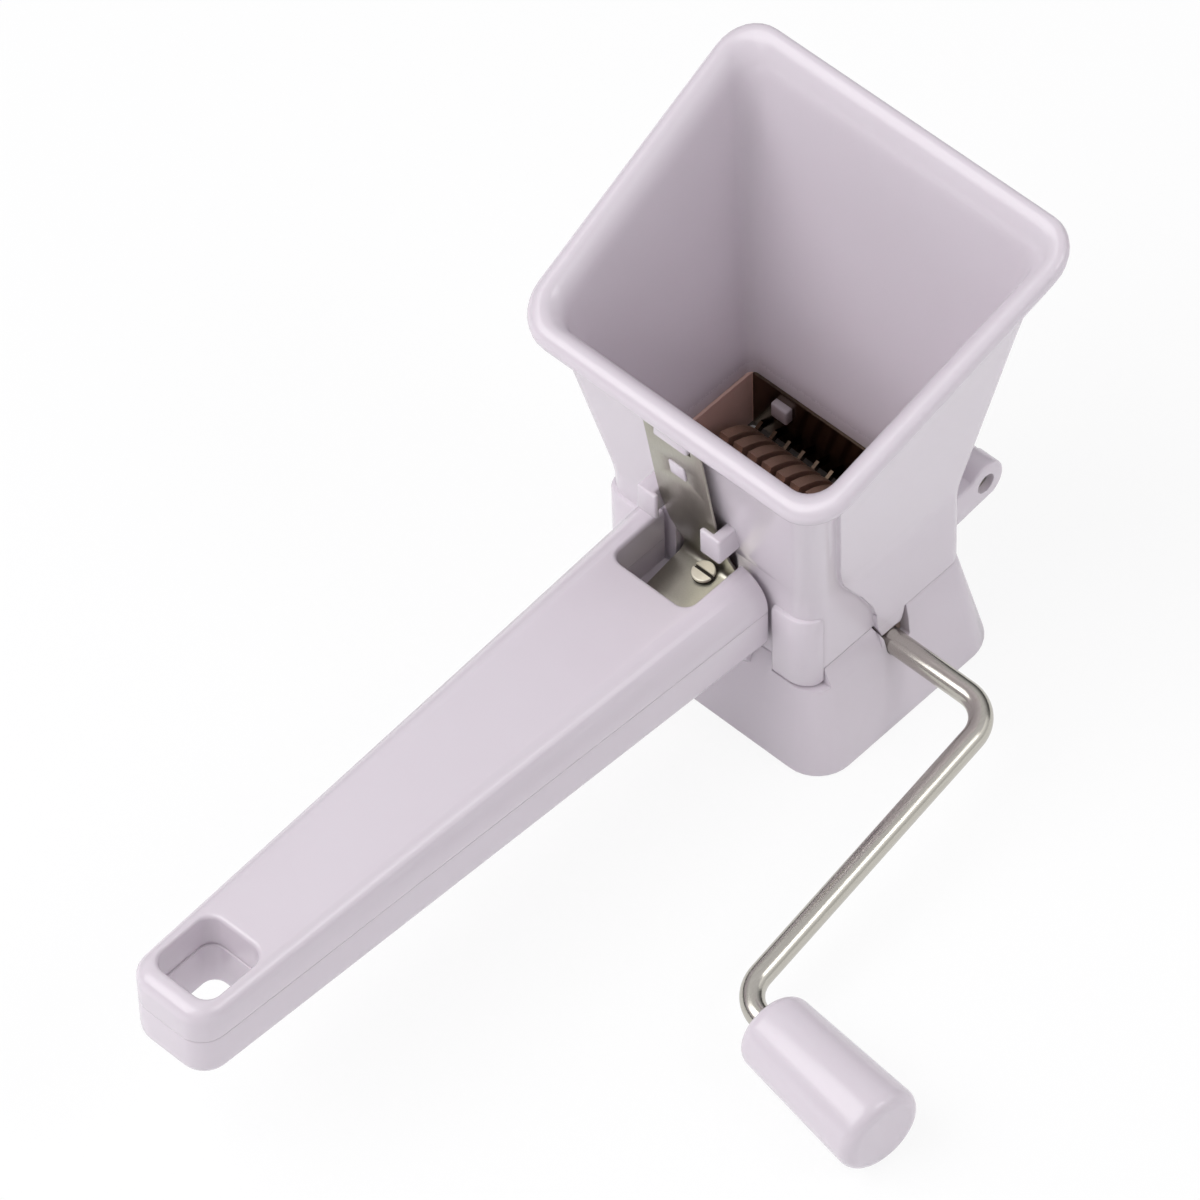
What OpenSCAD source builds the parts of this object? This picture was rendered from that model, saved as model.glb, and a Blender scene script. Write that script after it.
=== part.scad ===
// Hand-cranked herb mill.
// A flared hopper is hinged to a skirted base that carries a long flat handle.
// A bent wire crank turns a stack of toothed cutters inside the throat, and the fingers
// of a steel comb reach between them. A steel latch strip holds the hopper shut.
// Frame: origin on the table under the middle of the throat, +Z up,
// the handle points to -X, the hinge is on +X and the crank is on -Y. Millimetres.

/* [Throat] */
// Outer size of the straight throat along the handle
throat_x = 39; // [38:0.2:40]
// Outer size of the straight throat along the shaft
throat_y = 50.8; // [50:0.2:53]
// Radius of the throat's upright corners
throat_r = 3; // [2:0.5:4]
// Thickness of the moulded walls
wall = 2.2; // [1.8:0.1:2.4]
// Height of the parting between base and hopper
parting_z = 22; // [21.6:0.1:22.4]
// Gap between the two mouldings at the parting
seam = 0.15; // [0.1:0.05:0.3]

/* [Hopper] */
// Height at which the hopper starts to flare
flare_z = 41; // [40.5:0.5:43]
// Outward slope of the two walls that face along the handle
flare_slope_x = 0.188; // [0.17:0.002:0.2]
// Outward slope of the two walls that face along the shaft
flare_slope_y = 0.178; // [0.16:0.002:0.2]
// Radius of the hopper's corners at its mouth
mouth_r = 6; // [4:0.5:8]
// Height of the mouth above the middle of the shaft
mouth_z = 91; // [86:1:96]
// Tilt of the mouth, rising away from the handle
mouth_tilt = 20.7; // [18:0.1:22]
// Thickness of the round bead along the mouth
bead_d = 4.4; // [4:0.2:5]
// Depth of the shallow step beside the raised side panel
panel_step = 0.8; // [0.4:0.1:1]

/* [Skirt] */
// Size of the skirt's foot along the handle
foot_x = 48; // [47:0.2:50]
// Size of the skirt's foot along the shaft
foot_y = 61.4; // [60:0.2:64]
// Radius of the skirt's corners at its foot
foot_r = 7.5; // [5:0.5:9]

/* [Handle] */
// Distance from the shaft to the handle's far end
handle_reach = 154; // [146:1:160]
// Width of the handle at the base
handle_root_w = 31.4; // [30.4:0.1:31.6]
// Width of the handle at its far end
handle_end_w = 18; // [17.6:0.1:22]
// Height of the handle's underside
handle_low = 25.2; // [24.6:0.1:25.6]
// Height of the line where the two handle shells meet
handle_split = 35; // [34:0.5:36]
// Height of the handle's top
handle_top = 42.6; // [42:0.1:43.5]
// Distance from the shaft to the handle's root face
handle_root = 21; // [20.8:0.1:21.4]
// Rounding along the handle's long edges
handle_edge = 2.6; // [2:0.2:3]
// Length of the hang hole
hang_l = 14; // [11:0.5:15]
// Width of the hang hole
hang_w = 13.4; // [11:0.2:13.6]
// Wall left between the hang hole and the handle's far end
hang_margin = 4.2; // [4:0.2:8]
// Length of the latch pocket in the handle's root
pocket_l = 13.3; // [12.6:0.1:14]
// Width of the latch pocket
pocket_w = 17.8; // [17:0.2:18.6]

/* [Crank] */
// Height of the shaft's axis
shaft_z = 16.5; // [16.3:0.1:16.8]
// Thickness of the crank wire
wire_d = 4.5; // [4.3:0.1:4.6]
// Radial clearance of everything that turns on or in something
run_fit = 0.05; // [0.03:0.01:0.08]
// Distance from the mill's middle to the crank's first bend
crank_out = 50.1; // [46:0.5:56]
// Length of the crank arm from bend to bend
arm_l = 71.7; // [60:0.5:80]
// Sideways lean of the arm, away from the mill
arm_lean = 3.9; // [1:0.1:6]
// Centre-line radius of the wire's bends
bend_r = 7; // [5:0.5:7.5]
// Turn of the knob's pin towards the handle's far end
pin_toe = 7.2; // [0:0.2:9]
// Length of bare wire between the arm's bend point and the knob
knob_gap = 8; // [7.6:0.1:12]
// Length of the knob
knob_l = 30; // [24:0.5:36]
// Diameter of the knob at its open end
knob_d = 14.5; // [13:0.5:16]
// Diameter of the knob at its closed end
knob_end_d = 17; // [16:0.2:19]

/* [Cutters] */
// Diameter over the cutters' teeth
cutter_d = 33; // [30:0.2:33.2]
// Thickness of one cutter
cutter_t = 2.1; // [1.8:0.1:2.2]
// Distance from one cutter to the next
cutter_pitch = 3.38; // [3.3:0.01:3.42]
// Number of teeth round a cutter
tooth_n = 6; // [5:1:8]
// Depth of the gaps between teeth
tooth_deep = 2.6; // [1.8:0.1:3]
// Diameter of the spacers between cutters
spacer_d = 10; // [8:0.2:10.2]
// Depth of the flat on the shaft that drives the cutters
flat_deep = 0.7; // [0.4:0.1:0.9]
// Diameter of the thin discs at the ends of the stack
disc_d = 24; // [20:0.5:24]
// Thickness of an end disc
disc_t = 1; // [0.8:0.1:1]

/* [Comb] */
// Thickness of the comb's sheet
comb_t = 0.6; // [0.5:0.1:0.8]
// Width of one comb finger
finger_w = 0.7; // [0.5:0.1:0.8]
// Height of the comb's top edge
comb_top = 36; // [35.5:0.5:38]
// Slack between the comb and the throat walls
comb_slack = 0.1; // [0.05:0.05:0.2]

/* [Hinge] */
// Distance from the shaft to the hinge pin
hinge_x = 29.1; // [28.8:0.1:29.6]
// Height of the hinge pin
hinge_z = 29.9; // [29.5:0.1:30.4]
// Diameter of the hinge pin
hinge_pin_d = 4; // [3.4:0.1:4.2]
// Diameter of the eyes round the hinge pin
hinge_eye_d = 9; // [8.4:0.2:9.6]
// Distance from the mill's middle to the outer face of a hopper lug
lug_out = 21.8; // [21:0.2:22.6]
// Width of one hopper lug
lug_w = 5; // [4:0.2:5.4]
// Depth of the pin's ends below the lug faces
pin_sunk = 1.5; // [1:0.1:2]

/* [Latch] */
// Width of the latch strip
strip_w = 13.2; // [12:0.2:13.6]
// Thickness of the latch strip
strip_t = 0.5; // [0.4:0.05:0.6]
// Space between the strip's top and the bead above it
strip_top_gap = 1.5; // [0.8:0.1:2.5]
// Space between the strip and the hopper wall at the strip's top
strip_off_top = 1.9; // [1.7:0.1:2.2]
// Space between the strip and the hopper wall at the knee
strip_off_knee = 2.4; // [2.2:0.1:2.6]
// Height of the strip's knee
strip_knee_z = 52; // [51:0.5:54]
// Distance from the shaft to the strip's lower end
strip_foot_x = 18.6; // [18.5:0.1:19]
// Height of the strip's seat in the handle
seat_z = 29.6; // [29:0.1:30]
// Diameter of the latch screw's head
screw_head_d = 4.6; // [4.2:0.2:5]
// Diameter of the latch screw's shank
screw_d = 2.5; // [2:0.1:3]

/* [Hidden] */
CUTTERS = 12;
function numbered(name, i) = str(name, i < 10 ? "_0" : "_", i);

tiny = 0.01;
// Straight runs of a rod reach this far into its bends
rod_lap = 0.25;
over = 1;
big = 200;
corner_fn = 32;
round_fn = 64;

// Throat and hopper
half_x = throat_x / 2;
half_y = throat_y / 2;
inner_r = max(throat_r - wall, 0.6);
virtual_z = 110;
virtual_x = half_x + flare_slope_x * (virtual_z - flare_z);
virtual_y = half_y + flare_slope_y * (virtual_z - flare_z);
mouth_rise = tan(mouth_tilt);
mouth_half = half_x + flare_slope_x * (mouth_z - flare_z);
mouth_front = mouth_half / (1 - flare_slope_x * mouth_rise);
mouth_back = mouth_half / (1 + flare_slope_x * mouth_rise);
bead_out = bead_d / 4;
hopper_low = parting_z + seam;

// Skirt: how far its faces lean in up to the parting
skirt_lean_x = (foot_x - throat_x) / 2 / parting_z;
skirt_lean_y = (foot_y - throat_y) / 2 / parting_z;

// Corner bands of the hopper that lap over the base
band_low = parting_z - 3.6;
band_top = parting_z + 14.4;
band_t = 1;
band_wrap = 3;
band_from = handle_root_w / 2 + 0.4;
band_gap = 0.3;
band_lap = 0.2;

// Recess in the hopper wall behind the latch strip
channel_x = strip_foot_x - strip_t - 0.7;
channel_w = strip_w + 1.6;
channel_skin = 1.3;
channel_top = flare_z + 3;

// Grinder
shaft_r = wire_d / 2;
bore_r = shaft_r + run_fit;
stack_half = (CUTTERS - 1) / 2 * cutter_pitch + cutter_t / 2;
end_play = 0.3;
disc_back = 0.9;
spacer_t = cutter_pitch - cutter_t;
shaft_end = half_y + skirt_lean_y * (parting_z - shaft_z) + 1;
ring_end = half_y - wall - end_play;
tooth_ramp = 18 * 6 / tooth_n;
tooth_phase = 72;

// Comb
comb_back = half_x - wall - comb_slack;
comb_low = parting_z + 0.6;
wing_end = 14;
// The sheet and its wings stop short of the corner, whose outside is rounded on a bent sheet
comb_corner = 0.35;
comb_stud_y = 15;
comb_stud_w = 3.8;
comb_stud_h = 3.6;
comb_stud_z = comb_top - 4.4;

// Notches in the base's side walls, closed above the shaft by the hopper's tongues
notch_r = shaft_r + run_fit;
notch_half_low = 2.4;
notch_half_mid = 3.7;
notch_half_top = 4.8;
tongue_gap = 0.3;
tongue_low = shaft_z + notch_r + 0.1;

// Crank route
knob_clear = 0.3;
arm_fall = shaft_z - knob_end_d / 2 - knob_clear;
arm_out = arm_l * sin(arm_lean);
arm_back = sqrt(arm_l * arm_l - arm_fall * arm_fall - arm_out * arm_out);
crank_corner = [0, -crank_out, shaft_z];
arm_end = crank_corner + [-arm_back, -arm_out, -arm_fall];
pin_dir = [-sin(pin_toe), -cos(pin_toe), 0];
pin_in = knob_l - 4;
crank_route = [crank_corner, arm_end, arm_end + (knob_gap + pin_in) * pin_dir];
snap_ring_d = wire_d + 0.9;
snap_ring_t = 1.2;
snap_ring_in = 6;

// Hinge
pin_hole_r = hinge_pin_d / 2 + run_fit;
knuckle_gap = 0.3;
knuckle_out = lug_out - lug_w - knuckle_gap;
knuckle_w = 6;

// Latch
bead_back_z = mouth_z - (mouth_back + bead_out) * mouth_rise - bead_d / 2;
strip_top = bead_back_z - strip_top_gap;
wall_x_at = function(z) half_x + flare_slope_x * max(z - flare_z, 0);
knee_x = wall_x_at(strip_knee_z) + strip_off_knee;
strip_top_x = wall_x_at(strip_top) + strip_off_top;
split_z = seat_z + 4;
blade_gap = 0.3;
strip_bend_r = 0.9;
foot_end_x = handle_root + pocket_l - 2.2;
screw_x = strip_foot_x + strip_t + strip_bend_r + screw_head_d / 2 + 0.1;
screw_deep = 9;
window_low = strip_top - 12.8;
window_h = 4.3;
window_w = 4;
notch_w = 7.4;
guide_low = strip_knee_z - 5.5;
guide_h = 6.5;
guide_w = 4.2;
guide_gap = 0.3;

// Handle
handle_end_r = 5.5;
handle_taper = (handle_root_w - handle_end_w) / 2 / (handle_reach - handle_root);
root_web_w = 22;
root_web_l = 7;
hang_from = handle_reach - hang_margin - hang_l;
hang_r = 3;
pocket_r = 2.4;

function unit(v) = v / norm(v);
function turn(a, b) = acos(min(1, max(-1, a * b)));
function setback(a, b, r) = r * tan(turn(a, b) / 2);
function arc_points(c, r, from, to, n) =
  [for (i = [0:n]) let (t = from + (to - from) * i / n) c + r * [cos(t), sin(t)]];

// Stands its children, modelled up +Z, at p along direction d
module along(p, d) {
  translate(p) rotate([0, acos(d.z / norm(d)), atan2(d.y, d.x)]) children();
}

// One bend of a round rod: corner p, unit direction a in, unit direction b out
module bend(p, a, b, d, r) {
  inward = unit(b - (a * b) * a);
  normal = cross(-inward, a);
  centre = p - setback(a, b, r) * a + r * inward;
  translate(centre)
    rotate([atan2(a.z, normal.z), asin(inward.z), atan2(-inward.y, -inward.x)])
      rotate_extrude(angle = turn(a, b), $fn = round_fn) translate([r, 0]) circle(d = d);
}

// A round rod through points, with a bend at each inner corner
module rod(points, d, r) {
  n = len(points);
  dirs = [for (i = [0:n - 2]) unit(points[i + 1] - points[i])];
  backs = [for (i = [0:n - 1]) i == 0 || i == n - 1 ? 0 : setback(dirs[i - 1], dirs[i], r)];
  for (i = [0:n - 2]) {
    lap_in = backs[i] > 0 ? rod_lap : 0;
    lap_out = backs[i + 1] > 0 ? rod_lap : 0;
    start = points[i] + (backs[i] - lap_in) * dirs[i];
    run = norm(points[i + 1] - points[i]) - backs[i] - backs[i + 1] + lap_in + lap_out;
    along(start, dirs[i]) cylinder(d = d, h = run, $fn = round_fn);
  }
  for (i = [1:n - 2]) bend(points[i], dirs[i - 1], dirs[i], d + 2 * tiny, r);
}

// Rounded rectangle with half sizes x and y
module plate(x, y, r) {
  square([2 * (x - r), 2 * y], center = true);
  square([2 * x, 2 * (y - r)], center = true);
  for (sx = [-1, 1], sy = [-1, 1]) translate([sx * (x - r), sy * (y - r)]) circle(r, $fn = corner_fn);
}

// Upright block with half sizes x and y from z0 to z1
module block(x, y, r, z0, z1) {
  translate([0, 0, z0]) linear_extrude(z1 - z0) plate(x, y, r);
}

// Block whose half sizes and corners change from low to high, each [x, y, r, z]
module loft(low, high) {
  hull() {
    for (s = [low, high], sx = [-1, 1], sy = [-1, 1])
      translate([sx * (s[0] - s[2]), sy * (s[1] - s[2]), s[3]])
        cylinder(r = s[2], h = tiny, $fn = corner_fn);
  }
}

// Outline in X and Z, extruded across Y from y0 to y1
module side_plate(points, y0, y1) {
  translate([0, y1, 0]) rotate([90, 0, 0]) linear_extrude(y1 - y0) polygon(points);
}

// Everything above the tilted mouth
module above_mouth() {
  translate([0, 0, mouth_z]) rotate([0, -mouth_tilt, 0]) translate([-big / 2, -big / 2, 0]) cube(big);
}

module hopper_outside() {
  block(half_x, half_y, throat_r, hopper_low, flare_z + tiny);
  loft([half_x, half_y, throat_r, flare_z], [virtual_x, virtual_y, mouth_r, virtual_z]);
}

module hopper_inside() {
  block(half_x - wall, half_y - wall, inner_r, 0, flare_z + tiny);
  loft(
    [half_x - wall, half_y - wall, inner_r, flare_z],
    [virtual_x - wall, virtual_y - wall, mouth_r - wall, virtual_z]
  );
}

// Round bead along the mouth
module mouth_bead() {
  tilt = cos(mouth_tilt);
  front = (mouth_front + bead_out) / tilt;
  back = (mouth_back + bead_out) / tilt;
  grow = flare_slope_y * mouth_rise * tilt;
  level = half_y + flare_slope_y * (mouth_z - flare_z) + bead_out;
  front_y = level + grow * front;
  back_y = level - grow * back;
  translate([0, 0, mouth_z]) rotate([0, -mouth_tilt, 0])
    rod(
      [[0, -level, 0], [front, -front_y, 0], [front, front_y, 0],
       [-back, back_y, 0], [-back, -back_y, 0], [0, -level, 0]],
      bead_d, mouth_r
    );
}

// Shallow step between the near corner and the raised side panel, on both sides
module panel_steps() {
  top = flare_z + 9;
  mid_z = parting_z + 5;
  low = parting_z - over;
  edge = [
    [-half_x - over, top], [-13.5, top], [-11.7, top - 6.4], [-7.8, mid_z + 7.5],
    [-3.5, mid_z], [-3.2, low], [-half_x - over, low]
  ];
  for (s = [-1, 1]) {
    mid = s * (half_y + 2 - panel_step);
    side_plate(edge, mid - 2, mid + 2);
  }
}

// Bands at the handle-side corners that lap over the top of the base
module corner_bands() {
  for (s = [-1, 1])
    intersection() {
      difference() {
        block(half_x + band_t, half_y + band_t, throat_r + band_t, band_low, band_top);
        block(half_x - band_lap, half_y - band_lap, throat_r, band_low - over, hopper_low);
        block(half_x - wall / 2, half_y - wall / 2, throat_r, hopper_low - over, band_top + over);
      }
      translate([-half_x - 2 * over, s > 0 ? band_from : -half_y - 2 * over, band_low])
        cube([2 * over + band_wrap, half_y + 2 * over - band_from, band_top - band_low]);
    }
}

// Tongue that closes the base's notch above the shaft
module tongues() {
  outline = [[-notch_half_low + tongue_gap, tongue_low], [notch_half_low - tongue_gap + 0.6, tongue_low],
    [notch_half_top - 1.2, hopper_low + over], [-notch_half_low - 1.1, hopper_low + over]];
  for (s = [-1, 1])
    side_plate(outline, s > 0 ? half_y - wall : -half_y, s > 0 ? half_y : -half_y + wall);
}

// Guides that flank the latch strip
module strip_guides() {
  inner = strip_w / 2 + guide_gap;
  for (s = [-1, 1])
    translate([-wall_x_at(guide_low) - strip_off_knee - 1.2, s > 0 ? inner : -inner - guide_w, guide_low])
      cube([strip_off_knee + 1.2 + wall, guide_w, guide_h]);
}

// Catch that the strip's window hooks over: its top slopes down so that it can ride out
module latch_nib() {
  mid = window_low + window_h / 2;
  wall_x = wall_x_at(mid);
  reach = strip_off_top + strip_t + 0.8;
  outline = [[-wall_x + 1, mid + 1.8], [-wall_x - 0.6, mid + 1.5], [-wall_x - reach, mid - 1.5],
    [-wall_x - reach + 0.2, mid - 1.9], [-wall_x + 1, mid - 1.9]];
  side_plate(outline, -window_w / 2 + 0.25, window_w / 2 - 0.25);
}

// Studs on the inner wall that pass through the comb's windows
module comb_studs() {
  depth = comb_t + comb_slack + 1.4;
  for (s = [-1, 1])
    translate([half_x - wall - depth, s * comb_stud_y - comb_stud_w / 2, comb_stud_z - comb_stud_h / 2])
      cube([depth + wall / 2, comb_stud_w, comb_stud_h]);
}

// Two eyes with webs down to the hopper wall
module hinge_lugs() {
  r = hinge_eye_d / 2;
  root_x = half_x - wall / 2;
  web = [
    [root_x, hopper_low + 2.6], [hinge_x + 0.6 * r, hinge_z - 0.8 * r], [hinge_x, hinge_z],
    [hinge_x - 0.77 * r, hinge_z + 0.64 * r], [root_x, hinge_z + 3.4]
  ];
  for (s = [-1, 1]) {
    y0 = s > 0 ? lug_out - lug_w : -lug_out;
    translate([hinge_x, y0 + lug_w, hinge_z]) rotate([90, 0, 0]) cylinder(r = r, h = lug_w, $fn = round_fn);
    side_plate(web, y0, y0 + lug_w);
  }
}

// Wall recess for the strip's lower end, with a pad that keeps the wall whole
module channel_pad() {
  translate([-half_x + over, -channel_w / 2 - 1.5, hopper_low])
    cube([half_x - over - channel_x + channel_skin, channel_w + 3, channel_top - hopper_low]);
}

module channel_cut() {
  outline = [[-half_x - over, hopper_low - over], [-channel_x, hopper_low - over], [-channel_x, flare_z - 3],
    [-half_x + 0.2, channel_top], [-half_x - over, channel_top + 3]];
  side_plate(outline, -channel_w / 2, channel_w / 2);
}

module hopper_shell() {
  color("#d8d0d8")
    difference() {
      union() {
        difference() {
          union() {
            difference() {
              hopper_outside();
              above_mouth();
              panel_steps();
            }
            mouth_bead();
            corner_bands();
            tongues();
            strip_guides();
            hinge_lugs();
          }
          hopper_inside();
        }
        channel_pad();
        comb_studs();
        latch_nib();
      }
      channel_cut();
      translate([hinge_x, half_y + over, hinge_z]) rotate([90, 0, 0])
        cylinder(r = pin_hole_r, h = throat_y + 2 * over, $fn = round_fn);
    }
}

// Handle outline seen from above, drawn in by inset
module handle_plan(inset) {
  root_w = handle_root_w / 2 - inset;
  end_w = handle_end_w / 2 - inset;
  end_x = handle_reach - inset;
  r = max(handle_end_r - inset, 0.5);
  corner = [-end_x + r, end_w - r];
  upper = arc_points(corner, r, 90, 180, 6);
  lower = [for (i = [len(upper) - 1:-1:0]) [upper[i].x, -upper[i].y]];
  polygon(concat([[-handle_root, root_w]], upper, lower, [[-handle_root, -root_w]]));
}

// One half of the handle's outside: from the split to a face with rounded edges
module handle_half(z_split, z_face) {
  way = z_face > z_split ? 1 : -1;
  hull() {
    translate([0, 0, min(z_split, z_face - way * handle_edge)])
      linear_extrude(abs(z_face - z_split) - handle_edge) handle_plan(0);
    for (a = [22.5:22.5:90])
      translate([0, 0, z_face - way * handle_edge * (1 - sin(a)) - (way > 0 ? tiny : 0)])
        linear_extrude(tiny) handle_plan(handle_edge * (1 - cos(a)));
  }
}

// Space inside the handle, between the latch pocket and the hang hole
module handle_hollow(z0, z1) {
  from = handle_root + pocket_l + wall;
  to = hang_from - wall;
  w0 = handle_root_w / 2 - handle_taper * (from - handle_root) - wall;
  w1 = handle_root_w / 2 - handle_taper * (to - handle_root) - wall;
  translate([0, 0, z0]) linear_extrude(z1 - z0) polygon([[-from, w0], [-to, w1], [-to, -w1], [-from, -w0]]);
}

module hang_hole(z0, z1) {
  translate([-hang_from - hang_l / 2, 0, 0]) block(hang_l / 2, hang_w / 2, hang_r, z0, z1);
}

module latch_pocket(z0, z1) {
  translate([-handle_root - pocket_l / 2 + over, 0, 0])
    block(pocket_l / 2 + over, pocket_w / 2, pocket_r, z0, z1);
  translate([-handle_root - over, -pocket_w / 2, z0]) cube([2 * over, pocket_w, z1 - z0]);
}

module handle_cover() {
  color("#d8d0d8")
    difference() {
      handle_half(handle_split, handle_top);
      handle_hollow(handle_split - over, handle_top - wall);
      hang_hole(handle_split - over, handle_top + over);
      latch_pocket(handle_split - over, handle_top + over);
    }
}

module skirt_outside() {
  loft([foot_x / 2, foot_y / 2, foot_r, 0], [half_x, half_y, throat_r, parting_z - tiny]);
}

module skirt_inside() {
  more_x = skirt_lean_x * over;
  more_y = skirt_lean_y * over;
  loft(
    [foot_x / 2 - wall + more_x, foot_y / 2 - wall + more_y, foot_r - wall, -over],
    [half_x - wall - more_x, half_y - wall - more_y, inner_r, parting_z + over]
  );
}

// Notch in a side wall, open at the top, that the shaft drops into
module shaft_notches() {
  outline = concat(
    [[notch_half_top, parting_z + over], [-notch_half_mid - over, parting_z + over]],
    [[-notch_half_mid, parting_z], [-notch_half_low, shaft_z + 2.4], [-notch_r, shaft_z]],
    [[notch_r, shaft_z], [notch_half_top, shaft_z + 2.6]]
  );
  side_plate(outline, -foot_y / 2, foot_y / 2);
  translate([0, foot_y / 2, shaft_z]) rotate([90, 0, 0]) cylinder(r = notch_r, h = foot_y, $fn = round_fn);
}

// Rebates in the base's handle-side corners for the hopper's bands
module band_rebates() {
  long_x = foot_x / 2 - half_x + band_wrap + band_gap + 2 * over;
  long_y = foot_y / 2 - band_from + band_gap + over;
  core = band_lap + band_gap;
  for (s = [-1, 1])
    difference() {
      translate([-foot_x / 2 - over, s > 0 ? band_from - band_gap : -foot_y / 2 - over, band_low - band_gap])
        cube([long_x, long_y, parting_z]);
      block(half_x - core, half_y - core, throat_r, band_low - over, parting_z + over);
    }
}

// Web under the handle's root that ties it to the skirt
module root_web() {
  tie_z = parting_z - 8;
  tie_x = half_x + skirt_lean_x * (parting_z - tie_z) - wall / 2;
  far_x = handle_root + root_web_l;
  outline = [
    [-tie_x, tie_z], [-far_x, handle_low + tiny], [-far_x, handle_low + over],
    [-handle_root, handle_low + over], [-handle_root, parting_z - 0.4],
    [-half_x + wall / 2, parting_z - 0.4]
  ];
  side_plate(outline, -root_web_w / 2, root_web_w / 2);
}

// Knuckles between the hopper's lugs, on arms up from the skirt
module hinge_knuckles() {
  r = hinge_eye_d / 2 - 0.1;
  tie_z = parting_z - 8;
  root_x = half_x - wall / 2;
  arm = [
    [root_x + skirt_lean_x * 8, tie_z], [hinge_x + 0.9 * r, hinge_z - 0.6 * r],
    [hinge_x - 0.7 * r, hinge_z + 0.2 * r], [half_x + 1.4, parting_z - 0.3], [root_x, parting_z - 0.3]
  ];
  for (s = [-1, 1]) {
    y0 = s > 0 ? knuckle_out - knuckle_w : -knuckle_out;
    translate([hinge_x, y0 + knuckle_w, hinge_z]) rotate([90, 0, 0])
      cylinder(r = r, h = knuckle_w, $fn = round_fn);
    side_plate(arm, y0, y0 + knuckle_w);
  }
}

module base_shell() {
  color("#d8d0d8")
    difference() {
      union() {
        difference() {
          union() {
            skirt_outside();
            root_web();
            hinge_knuckles();
          }
          skirt_inside();
          shaft_notches();
        }
        difference() {
          handle_half(handle_split, handle_low);
          handle_hollow(handle_low + wall, handle_split + over);
        }
      }
      band_rebates();
      hang_hole(handle_low - over, handle_split + over);
      latch_pocket(seat_z, handle_split + over);
      translate([-screw_x, 0, seat_z - screw_deep])
        cylinder(d = screw_d + 2 * run_fit, h = big, $fn = round_fn);
      translate([hinge_x, half_y, hinge_z]) rotate([90, 0, 0])
        cylinder(r = pin_hole_r, h = throat_y, $fn = round_fn);
    }
}

module hinge_pin() {
  reach = lug_out - pin_sunk;
  color("#b9b6b0")
    translate([hinge_x, reach, hinge_z]) rotate([90, 0, 0])
      cylinder(d = hinge_pin_d, h = 2 * reach, $fn = round_fn);
}

// One comb finger: rises from the back sheet and reaches over the spacers
module comb_finger(y) {
  x = comb_back;
  outline = [
    [x, comb_low + 1.8], [x - comb_t, comb_low + 1.6], [x - 3.2, comb_low + 0.4], [x - 11.6, shaft_z + 5],
    [x - 10, shaft_z + 3], [x - 4.6, comb_low - 1.6], [x, comb_low + 0.2]
  ];
  side_plate(outline, y - finger_w / 2, y + finger_w / 2);
}

// Steel comb: a sheet on the hinge-side wall with two wings and a row of fingers
module comb_plate() {
  x = comb_back;
  side = half_y - wall - comb_slack;
  wing_x = x - comb_corner;
  sheet_y = side - comb_corner;
  wing = [[wing_x, comb_low], [wing_x, comb_top], [-wing_end, comb_top], [-wing_end, comb_low]];
  room_w = comb_stud_w + 0.4;
  room_h = comb_stud_h + 0.4;
  color("#a8a49b")
    difference() {
      union() {
        translate([x - comb_t, -sheet_y, comb_low]) cube([comb_t, 2 * sheet_y, comb_top - comb_low]);
        for (s = [-1, 1]) side_plate(wing, s > 0 ? side - comb_t : -side, s > 0 ? side : -side + comb_t);
        for (i = [0:CUTTERS]) comb_finger((i - CUTTERS / 2) * cutter_pitch);
      }
      for (s = [-1, 1])
        translate([x - 3, s * comb_stud_y - room_w / 2, comb_stud_z - room_h / 2]) cube([4, room_w, room_h]);
    }
}

// Latch strip above its seat, from just over the bend to the top
module latch_blade() {
  low_z = split_z + blade_gap;
  share = (low_z - seat_z) / (strip_knee_z - seat_z);
  low_x = strip_foot_x + share * (knee_x - strip_foot_x);
  outline = [[-low_x, low_z], [-knee_x, strip_knee_z], [-strip_top_x, strip_top],
    [-strip_top_x - strip_t, strip_top], [-knee_x - strip_t, strip_knee_z], [-low_x - strip_t, low_z]];
  color("#b4b1aa")
    difference() {
      side_plate(outline, -strip_w / 2, strip_w / 2);
      translate([-strip_top_x - 2, -window_w / 2, window_low]) cube([5, window_w, window_h]);
      translate([-strip_top_x - 2, -notch_w / 2, strip_top - 1.2]) cube([5, notch_w, 3]);
    }
}

// Foot of the latch strip: the bend and the flat that the screw holds down
module latch_foot() {
  share = (split_z - seat_z) / (strip_knee_z - seat_z);
  high_x = strip_foot_x + share * (knee_x - strip_foot_x);
  mid = [-strip_foot_x - strip_t - strip_bend_r, seat_z + strip_t + strip_bend_r];
  outer = arc_points(mid, strip_bend_r + strip_t, -3, -90, 6);
  inner = arc_points(mid, strip_bend_r, -90, -3, 6);
  outline = concat([[-high_x, split_z]], outer, [[-foot_end_x, seat_z], [-foot_end_x, seat_z + strip_t]],
    inner, [[-high_x - strip_t, split_z]]);
  color("#b4b1aa")
    difference() {
      side_plate(outline, -strip_w / 2, strip_w / 2);
      translate([-screw_x, 0, seat_z - over]) cylinder(d = screw_d + 2 * run_fit, h = 3, $fn = round_fn);
    }
}

// Slotted screw that holds the strip's foot down
module latch_screw() {
  head_h = 1.5;
  slot_w = 0.7;
  color("#d9d4c6")
    translate([-screw_x, 0, seat_z + strip_t])
      difference() {
        union() {
          cylinder(d = screw_head_d, h = head_h, $fn = round_fn);
          translate([0, 0, -strip_t - screw_deep + 0.5])
            cylinder(d = screw_d, h = strip_t + screw_deep, $fn = round_fn);
        }
        translate([-slot_w / 2, -screw_head_d, head_h - 0.8]) cube([slot_w, 2 * screw_head_d, 2]);
      }
}

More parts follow.
